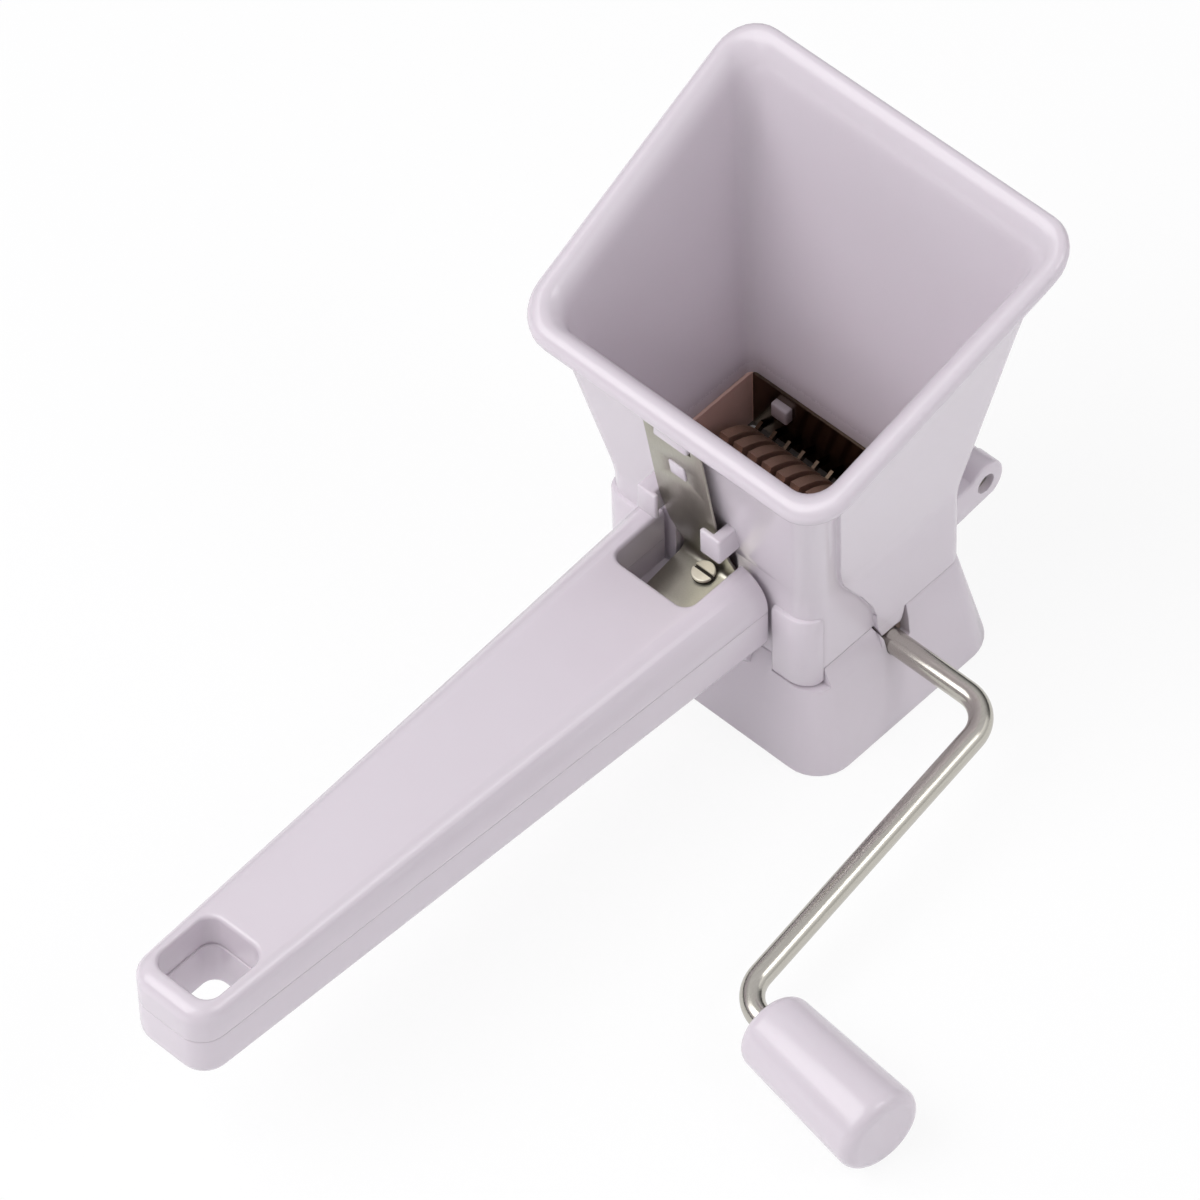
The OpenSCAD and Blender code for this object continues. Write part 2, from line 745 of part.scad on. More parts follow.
// Bent wire: shaft with a driving flat, arm and the pin that the knob turns on
module crank_wire() {
  flat_from = -ring_end;
  color("#b4b1aa") {
    difference() {
      translate([0, shaft_end, shaft_z]) rotate([90, 0, 0])
        cylinder(d = wire_d, h = shaft_end - flat_from, $fn = round_fn);
      translate([-wire_d, flat_from - over, shaft_z + shaft_r - flat_deep])
        cube([2 * wire_d, shaft_end - flat_from + 2 * over, wire_d]);
    }
    rod(concat([[0, flat_from, shaft_z]], crank_route), wire_d, bend_r);
    along(arm_end + (knob_gap + pin_in - snap_ring_in) * pin_dir, pin_dir)
      cylinder(d = snap_ring_d, h = snap_ring_t, $fn = round_fn);
  }
}

module crank_knob() {
  end_r = 3;
  start_r = 1.6;
  profile = concat(
    [[0, 0]],
    arc_points([knob_d / 2 - start_r, start_r], start_r, -90, 0, 5),
    arc_points([knob_end_d / 2 - end_r, knob_l - end_r], end_r, 0, 80, 6),
    [[0, knob_l]]
  );
  start = arm_end + knob_gap * pin_dir;
  color("#d8d0d8")
    along(start, pin_dir)
      difference() {
        rotate_extrude($fn = round_fn) polygon(profile);
        translate([0, 0, -over]) cylinder(r = bore_r, h = pin_in + over + 0.3, $fn = round_fn);
        translate([0, 0, pin_in - snap_ring_in - 0.3])
          cylinder(d = snap_ring_d + 2 * run_fit, h = snap_ring_t + 0.6, $fn = round_fn);
      }
}

// D-shaped hole that sits on the shaft's flat
module shaft_bore(y0, y1) {
  difference() {
    translate([0, y1, shaft_z]) rotate([90, 0, 0]) cylinder(r = bore_r, h = y1 - y0, $fn = round_fn);
    translate([-wire_d, y0 - over, shaft_z + shaft_r - flat_deep + run_fit])
      cube([2 * wire_d, y1 - y0 + 2 * over, wire_d]);
  }
}

// Outline of a cutter: each tooth climbs, runs round and drops to a gap
function tooth_points() =
  let (r = cutter_d / 2, low = r - tooth_deep, step = 360 / tooth_n, lead = step - tooth_ramp)
  [for (k = [0:tooth_n - 1]) let (tip = tooth_phase + k * step)
    each concat([[low * cos(tip - step), low * sin(tip - step)]],
      arc_points([0, 0], r, tip - lead, tip, 5))];

module cutter(i) {
  y = (i - (CUTTERS + 1) / 2) * cutter_pitch;
  color("#9d968c")
    difference() {
      translate([0, y + cutter_t / 2, shaft_z]) rotate([90, 0, 0])
        linear_extrude(cutter_t) polygon(tooth_points());
      shaft_bore(y - cutter_t, y + cutter_t);
    }
}

// Solid disc round the shaft's axis from y0 to y1
module shaft_disc(d, y0, y1) {
  translate([0, y1, shaft_z]) rotate([90, 0, 0]) cylinder(d = d, h = y1 - y0, $fn = round_fn);
}

module spacer(i) {
  y = (i - CUTTERS / 2) * cutter_pitch;
  color("#8f8a82")
    difference() {
      shaft_disc(spacer_d, y - spacer_t / 2, y + spacer_t / 2);
      shaft_bore(y - spacer_t, y + spacer_t);
    }
}

// Ring at one end of the stack; its thin disc keeps herbs off the side wall
module end_spacer(s) {
  y0 = s > 0 ? stack_half : -ring_end;
  y1 = s > 0 ? ring_end : -stack_half;
  disc_low = s > 0 ? ring_end - disc_back - disc_t : disc_back - ring_end;
  color("#8f8a82")
    difference() {
      union() {
        shaft_disc(spacer_d, y0, y1);
        shaft_disc(disc_d, disc_low, disc_low + disc_t);
      }
      shaft_bore(y0 - over, y1 + over);
    }
}

module end_spacer_near() {
  end_spacer(-1);
}

module end_spacer_far() {
  end_spacer(1);
}

hopper_shell();
base_shell();
handle_cover();
hinge_pin();
comb_plate();
latch_blade();
latch_foot();
latch_screw();
crank_wire();
crank_knob();
end_spacer_near();
end_spacer_far();
for (i = [1:CUTTERS])
  cutter(i);
for (i = [1:CUTTERS - 1])
  spacer(i);
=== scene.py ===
"""Looks for the hand-cranked herb mill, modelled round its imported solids.

The frame gives the real places: +Z up, the handle points to -X, the hinge is on +X and the
crank comes out on -Y. Sizes in this file are millimetres; meshes are made in metres.
"""

import logging
import math
from contextlib import contextmanager
from dataclasses import dataclass
from enum import Enum
from typing import Callable, Iterator, Sequence

import bmesh
import bpy
from bpy.types import Material, Node, NodeSocket, NodeTree, Object
from mathutils import Matrix, Vector

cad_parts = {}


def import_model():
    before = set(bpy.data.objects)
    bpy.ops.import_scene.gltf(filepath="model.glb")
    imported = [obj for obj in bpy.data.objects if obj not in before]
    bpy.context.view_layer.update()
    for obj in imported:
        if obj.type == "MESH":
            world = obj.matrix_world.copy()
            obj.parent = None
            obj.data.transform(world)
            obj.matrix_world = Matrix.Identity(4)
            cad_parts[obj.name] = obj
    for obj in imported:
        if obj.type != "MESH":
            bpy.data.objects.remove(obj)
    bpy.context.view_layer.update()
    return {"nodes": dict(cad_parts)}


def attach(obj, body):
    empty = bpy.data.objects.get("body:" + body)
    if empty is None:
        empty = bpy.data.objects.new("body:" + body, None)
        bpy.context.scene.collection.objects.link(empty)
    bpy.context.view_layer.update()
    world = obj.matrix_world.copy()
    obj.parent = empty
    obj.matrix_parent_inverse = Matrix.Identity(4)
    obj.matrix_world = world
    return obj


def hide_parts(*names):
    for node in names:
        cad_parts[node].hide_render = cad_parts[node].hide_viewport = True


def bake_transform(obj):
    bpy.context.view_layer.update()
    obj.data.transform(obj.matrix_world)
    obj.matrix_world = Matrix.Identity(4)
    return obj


log = logging.getLogger("herb_mill")

MM = 0.001
Point = tuple[float, float]
Place = tuple[float, float, float]
Spans = tuple[Point, Point, Point]
Colour = tuple[float, float, float, float]
Inputs = dict[str | int, object]
WHITE = (1.0, 1.0, 1.0, 1.0)


def metres(*values: float) -> Vector:
    """Turns a place in millimetres into a vector in metres."""
    return Vector(values) * MM


def arc(centre: Point, radius: float, start: float, end: float, steps: int) -> list[Point]:
    """Points along an arc in a plane.

    Args:
        centre: Middle of the arc.
        radius: Its radius.
        start: Angle of the first point in degrees.
        end: Angle of the last point in degrees.
        steps: Number of chords.

    Returns:
        The points, both ends included.
    """
    angles = [math.radians(start + (end - start) * i / steps) for i in range(steps + 1)]
    return [(centre[0] + radius * math.cos(a), centre[1] + radius * math.sin(a)) for a in angles]


class Cut(Enum):
    """How one closed mesh is combined with another."""

    ADD = "UNION"
    TAKE = "DIFFERENCE"
    KEEP = "INTERSECT"


class Bench:
    """Modelling steps that every sub-assembly uses."""

    @staticmethod
    def select_only(obj: Object) -> None:
        """Makes obj the only selected object and the active one."""
        bpy.ops.object.select_all(action="DESELECT")
        obj.select_set(True)
        bpy.context.view_layer.objects.active = obj

    @staticmethod
    @contextmanager
    def editing(obj: Object, mode: str = "VERT") -> Iterator[bmesh.types.BMesh]:
        """Opens obj in edit mode with nothing selected, and leaves edit mode again.

        Args:
            obj: The mesh object.
            mode: VERT, EDGE or FACE select mode.

        Yields:
            The edit mesh, for selecting in code.
        """
        Bench.select_only(obj)
        bpy.ops.object.mode_set(mode="EDIT")
        bpy.ops.mesh.select_mode(type=mode)
        bpy.ops.mesh.select_all(action="DESELECT")
        mesh = bmesh.from_edit_mesh(obj.data)
        yield mesh
        bpy.ops.object.mode_set(mode="OBJECT")

    @staticmethod
    def begin(operator: Callable[..., object], **settings: object) -> Object:
        """Adds a mesh by an operator, with nothing else selected, and returns it."""
        bpy.ops.object.select_all(action="DESELECT")
        operator(**settings)
        return bpy.context.object

    @staticmethod
    def name(obj: Object, name: str) -> Object:
        """Names an object and its mesh, and returns the object."""
        obj.name = name
        obj.data.name = name
        return obj

    @staticmethod
    def apply_place(obj: Object) -> None:
        """Moves the object's place, turn and scale into its mesh."""
        Bench.select_only(obj)
        bpy.ops.object.transform_apply(location=True, rotation=True, scale=True)

    @staticmethod
    def modifier(obj: Object, kind: str, **settings: object) -> None:
        """Adds a modifier with its settings and applies it.

        Args:
            obj: The mesh object.
            kind: The modifier's type.
            settings: Its properties.
        """
        Bench.select_only(obj)
        made = obj.modifiers.new(kind.title(), kind)
        for key, value in settings.items():
            setattr(made, key, value)
        bpy.ops.object.modifier_apply(modifier=made.name)

    @staticmethod
    def combine(obj: Object, others: Sequence[Object], how: Cut) -> None:
        """Combines obj with closed meshes, one after another, and removes them.

        Args:
            obj: The mesh that stays.
            others: The meshes that are added, taken away or kept in common.
            how: The kind of combination.
        """
        for other in others:
            Bench.modifier(obj, "BOOLEAN", operation=how.value, solver="EXACT", object=other)
            bpy.data.objects.remove(other)

    @staticmethod
    def soften(obj: Object, width: float, segments: int = 2, angle: float = 30.0) -> None:
        """Rounds every edge that is sharper than an angle.

        Args:
            obj: The mesh object.
            width: Width of the rounding in millimetres.
            segments: Number of facets across it.
            angle: Smallest edge angle in degrees that is rounded.
        """
        Bench.modifier(
            obj, "BEVEL", width=width * MM, segments=segments, limit_method="ANGLE",
            angle_limit=math.radians(angle), harden_normals=False, use_clamp_overlap=True,
        )

    @staticmethod
    def finish(obj: Object, angle: float = 32.0) -> None:
        """Merges doubles, points the faces outwards and shades the mesh smooth by angle."""
        with Bench.editing(obj):
            bpy.ops.mesh.select_all(action="SELECT")
            bpy.ops.mesh.remove_doubles(threshold=1e-6)
            bpy.ops.mesh.normals_make_consistent(inside=False)
        Bench.select_only(obj)
        bpy.ops.object.shade_smooth_by_angle(angle=math.radians(angle))

    @staticmethod
    def box(x: Point, y: Point, z: Point, rounding: float = 0.0) -> Object:
        """A block with rounded edges.

        Args:
            x: Its lowest and highest X in millimetres.
            y: The same for Y.
            z: The same for Z.
            rounding: Radius of its edges.

        Returns:
            The new object.
        """
        middle = metres(*[(low + high) / 2 for low, high in (x, y, z)])
        size = metres(*[high - low for low, high in (x, y, z)])
        obj = Bench.begin(bpy.ops.mesh.primitive_cube_add, size=1, location=middle, scale=size)
        Bench.apply_place(obj)
        if rounding:
            Bench.soften(obj, rounding, segments=3)
        return obj

    @staticmethod
    def rod(start: Vector, end: Vector, radius: float, sides: int = 48) -> Object:
        """A straight round rod between two places in metres."""
        way = end - start
        obj = Bench.begin(
            bpy.ops.mesh.primitive_cylinder_add, vertices=sides, radius=radius * MM,
            depth=way.length, location=(start + end) / 2,
            rotation=way.to_track_quat("Z", "Y").to_euler(),
        )
        Bench.apply_place(obj)
        return obj

    @staticmethod
    def extrude(step: Vector) -> None:
        """Extrudes what is selected in edit mode by a step in metres."""
        bpy.ops.mesh.extrude_region_move(TRANSFORM_OT_translate={"value": step})

    @staticmethod
    def lay(obj: Object, place: Vector, way: Vector) -> None:
        """Moves an object to a place in metres with its Z axis along a way, in its mesh."""
        turn = way.to_track_quat("Z", "Y").to_matrix().to_4x4()
        obj.matrix_world = Matrix.Translation(place) @ turn
        Bench.apply_place(obj)

    @staticmethod
    def slab(outline: Sequence[Point], low: float, high: float) -> Object:
        """An outline in X and Z, extruded across Y.

        Args:
            outline: Corners in millimetres.
            low: Y of the first face.
            high: Y of the second face.

        Returns:
            The new closed object.
        """
        obj = Bench.begin(bpy.ops.mesh.primitive_circle_add, vertices=len(outline), radius=1,
                          fill_type="NGON")
        for vertex, (x, z) in zip(obj.data.vertices, outline):
            vertex.co = metres(x, low, z)
        with Bench.editing(obj, "FACE"):
            bpy.ops.mesh.select_all(action="SELECT")
            Bench.extrude(metres(0, high - low, 0))
            bpy.ops.mesh.select_all(action="SELECT")
            bpy.ops.mesh.normals_make_consistent(inside=False)
        return obj


@dataclass(frozen=True)
class Ring:
    """Rounded four-cornered outline seen from above, on a plane that may tilt along X.

    Attributes:
        back: X of its end on the handle side.
        front: X of its other end.
        back_half: Half width at the back.
        front_half: Half width at the front.
        back_r: Corner radius at the back.
        front_r: Corner radius at the front.
        z: Height at X = 0.
        rise: Climb of the plane per millimetre along X.
    """

    back: float
    front: float
    back_half: float
    front_half: float
    back_r: float
    front_r: float
    z: float
    rise: float = 0.0

    def drawn_in(self, inset: float, z: float) -> "Ring":
        """The same outline, smaller by inset all round, at another height."""
        return Ring(
            self.back + inset, self.front - inset, self.back_half - inset, self.front_half - inset,
            max(self.back_r - inset, 0.3), max(self.front_r - inset, 0.3), z, self.rise,
        )

    def build(self, steps: int) -> Object:
        """Makes the outline as a loop of edges.

        Args:
            steps: Chords in each corner.

        Returns:
            The new object.
        """
        obj = Bench.begin(bpy.ops.mesh.primitive_plane_add, size=2)
        for vertex in obj.data.vertices:
            at_front, at_right = vertex.co.x > 0, vertex.co.y > 0
            half = self.front_half if at_front else self.back_half
            end = self.front if at_front else self.back
            vertex.co = metres(end, half if at_right else -half, 0)
        for radius, ahead in ((self.back_r, False), (self.front_r, True)):
            edge = (self.front if ahead else self.back) * MM
            with Bench.editing(obj) as mesh:
                for vertex in mesh.verts:
                    vertex.select = abs(vertex.co.x - edge) < 1e-7
                bpy.ops.mesh.bevel(offset=radius * MM, segments=steps, affect="VERTICES",
                                   profile=0.5)
        with Bench.editing(obj, "FACE"):
            bpy.ops.mesh.select_all(action="SELECT")
            bpy.ops.mesh.delete(type="ONLY_FACE")
        for vertex in obj.data.vertices:
            vertex.co.z = self.z * MM + vertex.co.x * self.rise
        return obj


def skin(rings: Sequence[Ring], name: str, capped: bool = True, steps: int = 8) -> Object:
    """Bridges rings one after another into a closed or ring-shaped mesh.

    Args:
        rings: The outlines in order.
        name: Name of the result.
        capped: True closes both ends; False joins the last ring to the first.
        steps: Chords in each corner.

    Returns:
        The new object.
    """
    loops = [ring.build(steps) for ring in rings]
    count = len(loops[0].data.vertices)
    bpy.ops.object.select_all(action="DESELECT")
    for loop in loops:
        loop.select_set(True)
    bpy.context.view_layer.objects.active = loops[0]
    bpy.ops.object.join()
    obj = bpy.context.object
    pairs = [(i, i + 1) for i in range(len(rings) - 1)]
    if not capped:
        pairs.append((len(rings) - 1, 0))
    for first, second in pairs:
        with Bench.editing(obj, "EDGE") as mesh:
            mesh.edges.ensure_lookup_table()
            for edge in mesh.edges:
                owners = {vertex.index // count for vertex in edge.verts}
                edge.select = owners == {first} or owners == {second}
            bmesh.update_edit_mesh(obj.data)
            bpy.ops.mesh.bridge_edge_loops()
    if capped:
        for end in (0, len(rings) - 1):
            with Bench.editing(obj, "EDGE") as mesh:
                for edge in mesh.edges:
                    edge.select = {vertex.index // count for vertex in edge.verts} == {end}
                bmesh.update_edit_mesh(obj.data)
                bpy.ops.mesh.edge_face_add()
    with Bench.editing(obj):
        bpy.ops.mesh.select_all(action="SELECT")
        bpy.ops.mesh.normals_make_consistent(inside=False)
    return Bench.name(obj, name)


def linear(code: str) -> Colour:
    """Turns an sRGB hex code such as #D8D0D8 into the linear colour that a shader takes."""
    channels = [int(code[i:i + 2], 16) / 255 for i in (1, 3, 5)]
    flat = [c / 12.92 if c <= 0.04045 else ((c + 0.055) / 1.055) ** 2.4 for c in channels]
    return (*flat, 1.0)


def per_mm(size: float) -> float:
    """Noise scale at which one feature is about size millimetres across."""
    return 1.0 / (size * MM)


class Nodes:
    """A node tree while it is being put together."""

    def __init__(self, tree: NodeTree) -> None:
        """Empties the tree."""
        self.tree = tree
        tree.nodes.clear()

    def feed(self, node: Node, inputs: Inputs) -> None:
        """Fills a node's sockets.

        Args:
            node: The node.
            inputs: Socket name or number to a value, to the output socket that feeds it, or to
                a node whose first output feeds it.
        """
        for key, value in inputs.items():
            source = value.outputs[0] if isinstance(value, Node) else value
            if isinstance(source, NodeSocket):
                self.tree.links.new(source, node.inputs[key])
            else:
                node.inputs[key].default_value = source

    def add(self, kind: str, inputs: Inputs | None = None, **settings: object) -> Node:
        """Adds a node.

        Args:
            kind: The node's type.
            inputs: What fills its sockets, as feed takes it.
            settings: The node's own properties.

        Returns:
            The new node.
        """
        node = self.tree.nodes.new(kind)
        for key, value in settings.items():
            setattr(node, key, value)
        self.feed(node, inputs or {})
        return node


class Recipe(Nodes):
    """A material's node tree, whose patterns lie on the place in metres."""

    def __init__(self, name: str) -> None:
        """Starts a material with a Principled shader and an output."""
        self.material = bpy.data.materials.new(name)
        self.material.use_nodes = True
        super().__init__(self.material.node_tree)
        self.shader = self.add("ShaderNodeBsdfPrincipled")
        self.output = self.add("ShaderNodeOutputMaterial", {"Surface": self.shader})
        self.place = self.add("ShaderNodeTexCoord").outputs["Object"]
        self.axes = self.add("ShaderNodeSeparateXYZ", {"Vector": self.place}).outputs

    def surface(self, inputs: Inputs) -> Material:
        """Fills the shader's sockets and returns the material."""
        self.feed(self.shader, inputs)
        return self.material


@dataclass(frozen=True)
class MouldedPlastic:
    """Pale lilac-grey ABS, injection moulded and polished.

    It looks dense and slightly milky: soft broad highlights, light that bleeds a little through
    thin walls, and a faint waviness of the cooled skin. Deep in the throat, round the cutters, a
    painted shade darkens it and dulls its gloss.

    Attributes:
        base: Main tone.
        shade: Second tone of the faint clouds in the plastic.
        roughness: Mean roughness.
        cloud_mm: Size of the clouds.
        skin_wave_mm: Size of the waves.
        grain_mm: Size of the fine grain.
        edge_mm: Radius of the softened edges.
        throat_shade: Tone of the painted shade deep in the throat.
        throat_shade_roughness: Its roughness.
        shade_start_mm: Height where the painted shade starts.
        deep_mm: Height below which it is full.
        flare_mm: Height where the walls start to flare.
        walls: Slope and half size of the surface midway in the walls, along X, along Y and
            for the sum of both, which cuts the corners.
    """

    base: str = "#D9D1D9"
    shade: str = "#D5CCD4"
    roughness: float = 0.21
    cloud_mm: float = 24.0
    skin_wave_mm: float = 9.0
    grain_mm: float = 0.35
    edge_mm: float = 0.35
    throat_shade: str = "#5E4B44"
    throat_shade_roughness: float = 0.75
    shade_start_mm: float = 43.0
    deep_mm: float = 22.0
    flare_mm: float = 41.0
    walls: tuple[Point, ...] = ((0.188, 18.4), (0.178, 23.8), (0.366, 39.8))

    def painted_shade(self, mix: Recipe) -> Node:
        """Share of painted shade: none outside and at the mouth, most deep in the throat round the
        cutters.

        Args:
            mix: The material's node tree.

        Returns:
            Node that gives 0 to 1.
        """
        height = mix.axes["Z"]
        flare = mix.add("ShaderNodeMath", {0: height, 1: -self.flare_mm * MM}, operation="ADD")
        flare = mix.add("ShaderNodeMath", {0: flare, 1: 0.0}, operation="MAXIMUM")
        across, along = (mix.add("ShaderNodeMath", {0: mix.axes[axis]}, operation="ABSOLUTE")
                         for axis in ("X", "Y"))
        both = mix.add("ShaderNodeMath", {0: across, 1: along}, operation="ADD")
        share = mix.add("ShaderNodeMapRange", {
            "Value": height, "From Min": self.shade_start_mm * MM, "From Max": self.deep_mm * MM,
        }, interpolation_type="SMOOTHSTEP")
        for side, (slope, half) in zip((across, along, both), self.walls):
            reach = mix.add("ShaderNodeMath", {0: flare, 1: -slope, 2: side},
                            operation="MULTIPLY_ADD")
            inside = mix.add("ShaderNodeMath", {0: reach, 1: half * MM}, operation="LESS_THAN")
            share = mix.add("ShaderNodeMath", {0: share, 1: inside}, operation="MULTIPLY")
        return share

    def make(self) -> Material:
        """Builds the material and returns it."""
        mix = Recipe("lilac_moulded_abs")
        cloud, wave, grain = (
            mix.add("ShaderNodeTexNoise", {"Vector": mix.place, "Scale": per_mm(size),
                                           "Detail": detail})
            for size, detail in ((self.cloud_mm, 3.0), (self.skin_wave_mm, 2.0),
                                 (self.grain_mm, 2.0))
        )
        edge = mix.add("ShaderNodeBevel", {"Radius": self.edge_mm * MM}, samples=6)
        slow = mix.add("ShaderNodeBump", {"Height": wave, "Strength": 0.05,
                                          "Distance": 0.4 * MM, "Normal": edge})
        fine = mix.add("ShaderNodeBump", {"Height": grain, "Strength": 0.04,
                                          "Distance": 0.05 * MM, "Normal": slow})
        unshaded = mix.add("ShaderNodeMix", {0: cloud, 6: linear(self.base), 7: linear(self.shade)},
                        data_type="RGBA")
        # Painted shade: the plastic turns darker and duller deeper in the throat, inside the walls.
        painted_shade = self.painted_shade(mix)
        tint = mix.add("ShaderNodeMix", {0: painted_shade, 6: unshaded.outputs[2], 7: linear(self.throat_shade)},
                       data_type="RGBA")
        gloss = mix.add("ShaderNodeMapRange", {
            "Value": grain, "To Min": self.roughness - 0.03, "To Max": self.roughness + 0.05,
        })
        return mix.surface({
            "Base Color": tint.outputs[2], "Normal": fine, "IOR": 1.53,
            "Roughness": mix.add("ShaderNodeMix", {0: painted_shade, 2: gloss, 3: self.throat_shade_roughness}),
            "Subsurface Weight": 0.12, "Subsurface Radius": (1.0, 0.8, 0.9),
            "Subsurface Scale": 1.2 * MM,
        })


@dataclass(frozen=True)
class BrushedSteel:
    """Stainless steel with fine parallel lines from rolling, drawing or brushing.

    Attributes:
        name: Name of the material.
        base: Light tone of the metal.
        dark: Dark tone in the lines.
        roughness: Mean roughness.
        line_mm: Spacing of the lines.
        cloud_mm: Size of the patches that are duller or brighter.
        stretch: How much longer than wide a line is, along each axis.
        depth: Bump strength of the lines.
        metallic: Share of bare metal; the rest is oxide.
    """

    name: str
    base: str
    dark: str
    roughness: float
    line_mm: float = 0.25
    cloud_mm: float = 11.0
    stretch: Place = (1.0, 1.0, 0.02)
    depth: float = 0.12
    metallic: float = 1.0

    def make(self) -> Material:
        """Builds the material and returns it."""
        mix = Recipe(self.name)
        along = mix.add("ShaderNodeMapping", {"Vector": mix.place, "Scale": self.stretch})
        lines = mix.add("ShaderNodeTexNoise", {
            "Vector": along, "Scale": per_mm(self.line_mm), "Detail": 4.0, "Roughness": 0.7,
        })
        cloud = mix.add("ShaderNodeTexNoise", {"Vector": mix.place, "Scale": per_mm(self.cloud_mm),
                                               "Detail": 4.0})
        tone = mix.add("ShaderNodeMix", {0: lines, 6: linear(self.dark), 7: linear(self.base)},
                       data_type="RGBA")
        return mix.surface({
            "Base Color": tone.outputs[2],
            "Roughness": mix.add("ShaderNodeMapRange", {
                "Value": cloud, "To Min": self.roughness - 0.06, "To Max": self.roughness + 0.08,
            }),
            "Normal": mix.add("ShaderNodeBump", {"Height": lines, "Strength": self.depth,
                                                 "Distance": 0.05 * MM}),
            "Metallic": self.metallic,
        })


@dataclass(frozen=True)
class PlatedScrew:
    """Bright nickel on the screw's face, with painted shade in the slot and down its sides.

    Attributes:
        face: Tone of the plating.
        slot_shade: Tone of the painted shade below the face.
        face_mm: Height of the face at X = 0.
        slope: Climb of the face per millimetre along X.
    """

    face: str = "#EDE6D4"
    slot_shade: str = "#3B342D"
    face_mm: float = 37.4
    slope: float = 0.187

    def make(self) -> Material:
        """Builds the material and returns it."""
        mix = Recipe("plated_screw")
        level = mix.add("ShaderNodeMath", {0: mix.axes["X"], 1: -self.slope, 2: mix.axes["Z"]},
                        operation="MULTIPLY_ADD")
        # Painted shade: below the face, in the slot and down the sides, the screw turns dark and
        # dull.
        unshaded = mix.add("ShaderNodeMapRange", {
            "Value": level, "From Min": (self.face_mm - 0.4) * MM,
            "From Max": (self.face_mm - 0.25) * MM,
        })
        tone = mix.add("ShaderNodeMix", {0: unshaded, 6: linear(self.slot_shade), 7: linear(self.face)},
                       data_type="RGBA")
        return mix.surface({
            "Base Color": tone.outputs[2], "Metallic": 0.4,
            "Roughness": mix.add("ShaderNodeMix", {0: unshaded, 2: 0.7, 3: 0.33}),
        })


@dataclass(frozen=True)
class CombSteel:
    """Comb sheet: polished and darkened at the back as painted shade; its two wings are a dull pale
    brown that paints the reflection of the lilac walls in warm shade.

    Attributes:
        back: Tone of the back sheet and the fingers, darkened as painted shade.
        wing: Tone of the wings, a painted reflection of the lilac walls in warm shade.
        wing_mm: Distance from the middle at which the wings start.
    """

    back: str = "#655649"
    wing: str = "#D3B0A4"
    wing_mm: float = 22.3

    def make(self) -> Material:
        """Builds the material and returns it."""
        mix = Recipe("comb_steel_with_painted_shade")
        side = mix.add("ShaderNodeMath", {0: mix.axes["Y"]}, operation="ABSOLUTE")
        wing = mix.add("ShaderNodeMapRange", {
            "Value": side, "From Min": self.wing_mm * MM, "From Max": (self.wing_mm + 0.1) * MM,
        })
        # Painted shade on the back and fingers; painted reflection of the lilac walls in warm shade
        # on the wings.
        tone = mix.add("ShaderNodeMix", {0: wing, 6: linear(self.back), 7: linear(self.wing)},
                       data_type="RGBA")
        grit = mix.add("ShaderNodeTexNoise", {"Vector": mix.place, "Scale": per_mm(0.3),
                                              "Detail": 3.0})
        return mix.surface({
            "Base Color": tone.outputs[2],
            "Roughness": mix.add("ShaderNodeMix", {0: wing, 2: 0.18, 3: 0.45}),
            "Metallic": mix.add("ShaderNodeMix", {0: wing, 2: 1.0, 3: 0.1}),
            "Normal": mix.add("ShaderNodeBump", {"Height": grit, "Strength": 0.1,
                                                 "Distance": 0.04 * MM}),
        })


def dress(obj: Object, material: Material) -> None:
    """Gives the object one material."""
    obj.data.materials.clear()
    obj.data.materials.append(material)


def stand_for(piece: Object, name: str, material: Material, body: str,
              nodes: Sequence[str], angle: float = 32.0) -> None:
    """Finishes a piece and lets it ride on a body in place of solids.

    Args:
        piece: The new piece.
        name: Its name.
        material: Its material.
        body: The body that it moves with.
        nodes: The solids that it replaces.
        angle: Sharpest edge in degrees that is shaded smooth.
    """
    Bench.finish(piece, angle)
    Bench.name(piece, name)
    dress(piece, material)
    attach(piece, body)
    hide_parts(*nodes)
    log.info("%s: %d faces, rides on %s", piece.name, len(piece.data.polygons), body)


def span_y(side: int, near: float, far: float) -> Point:
    """Lowest and highest Y of a span on one side of the middle plane.

    Args:
        side: -1 for the crank's side, 1 for the other.
        near: Distance of its inner end from the middle plane.
        far: Distance of its outer end.

    Returns:
        The two ends in order.
    """
    low, high = sorted((side * near, side * far))
    return low, high


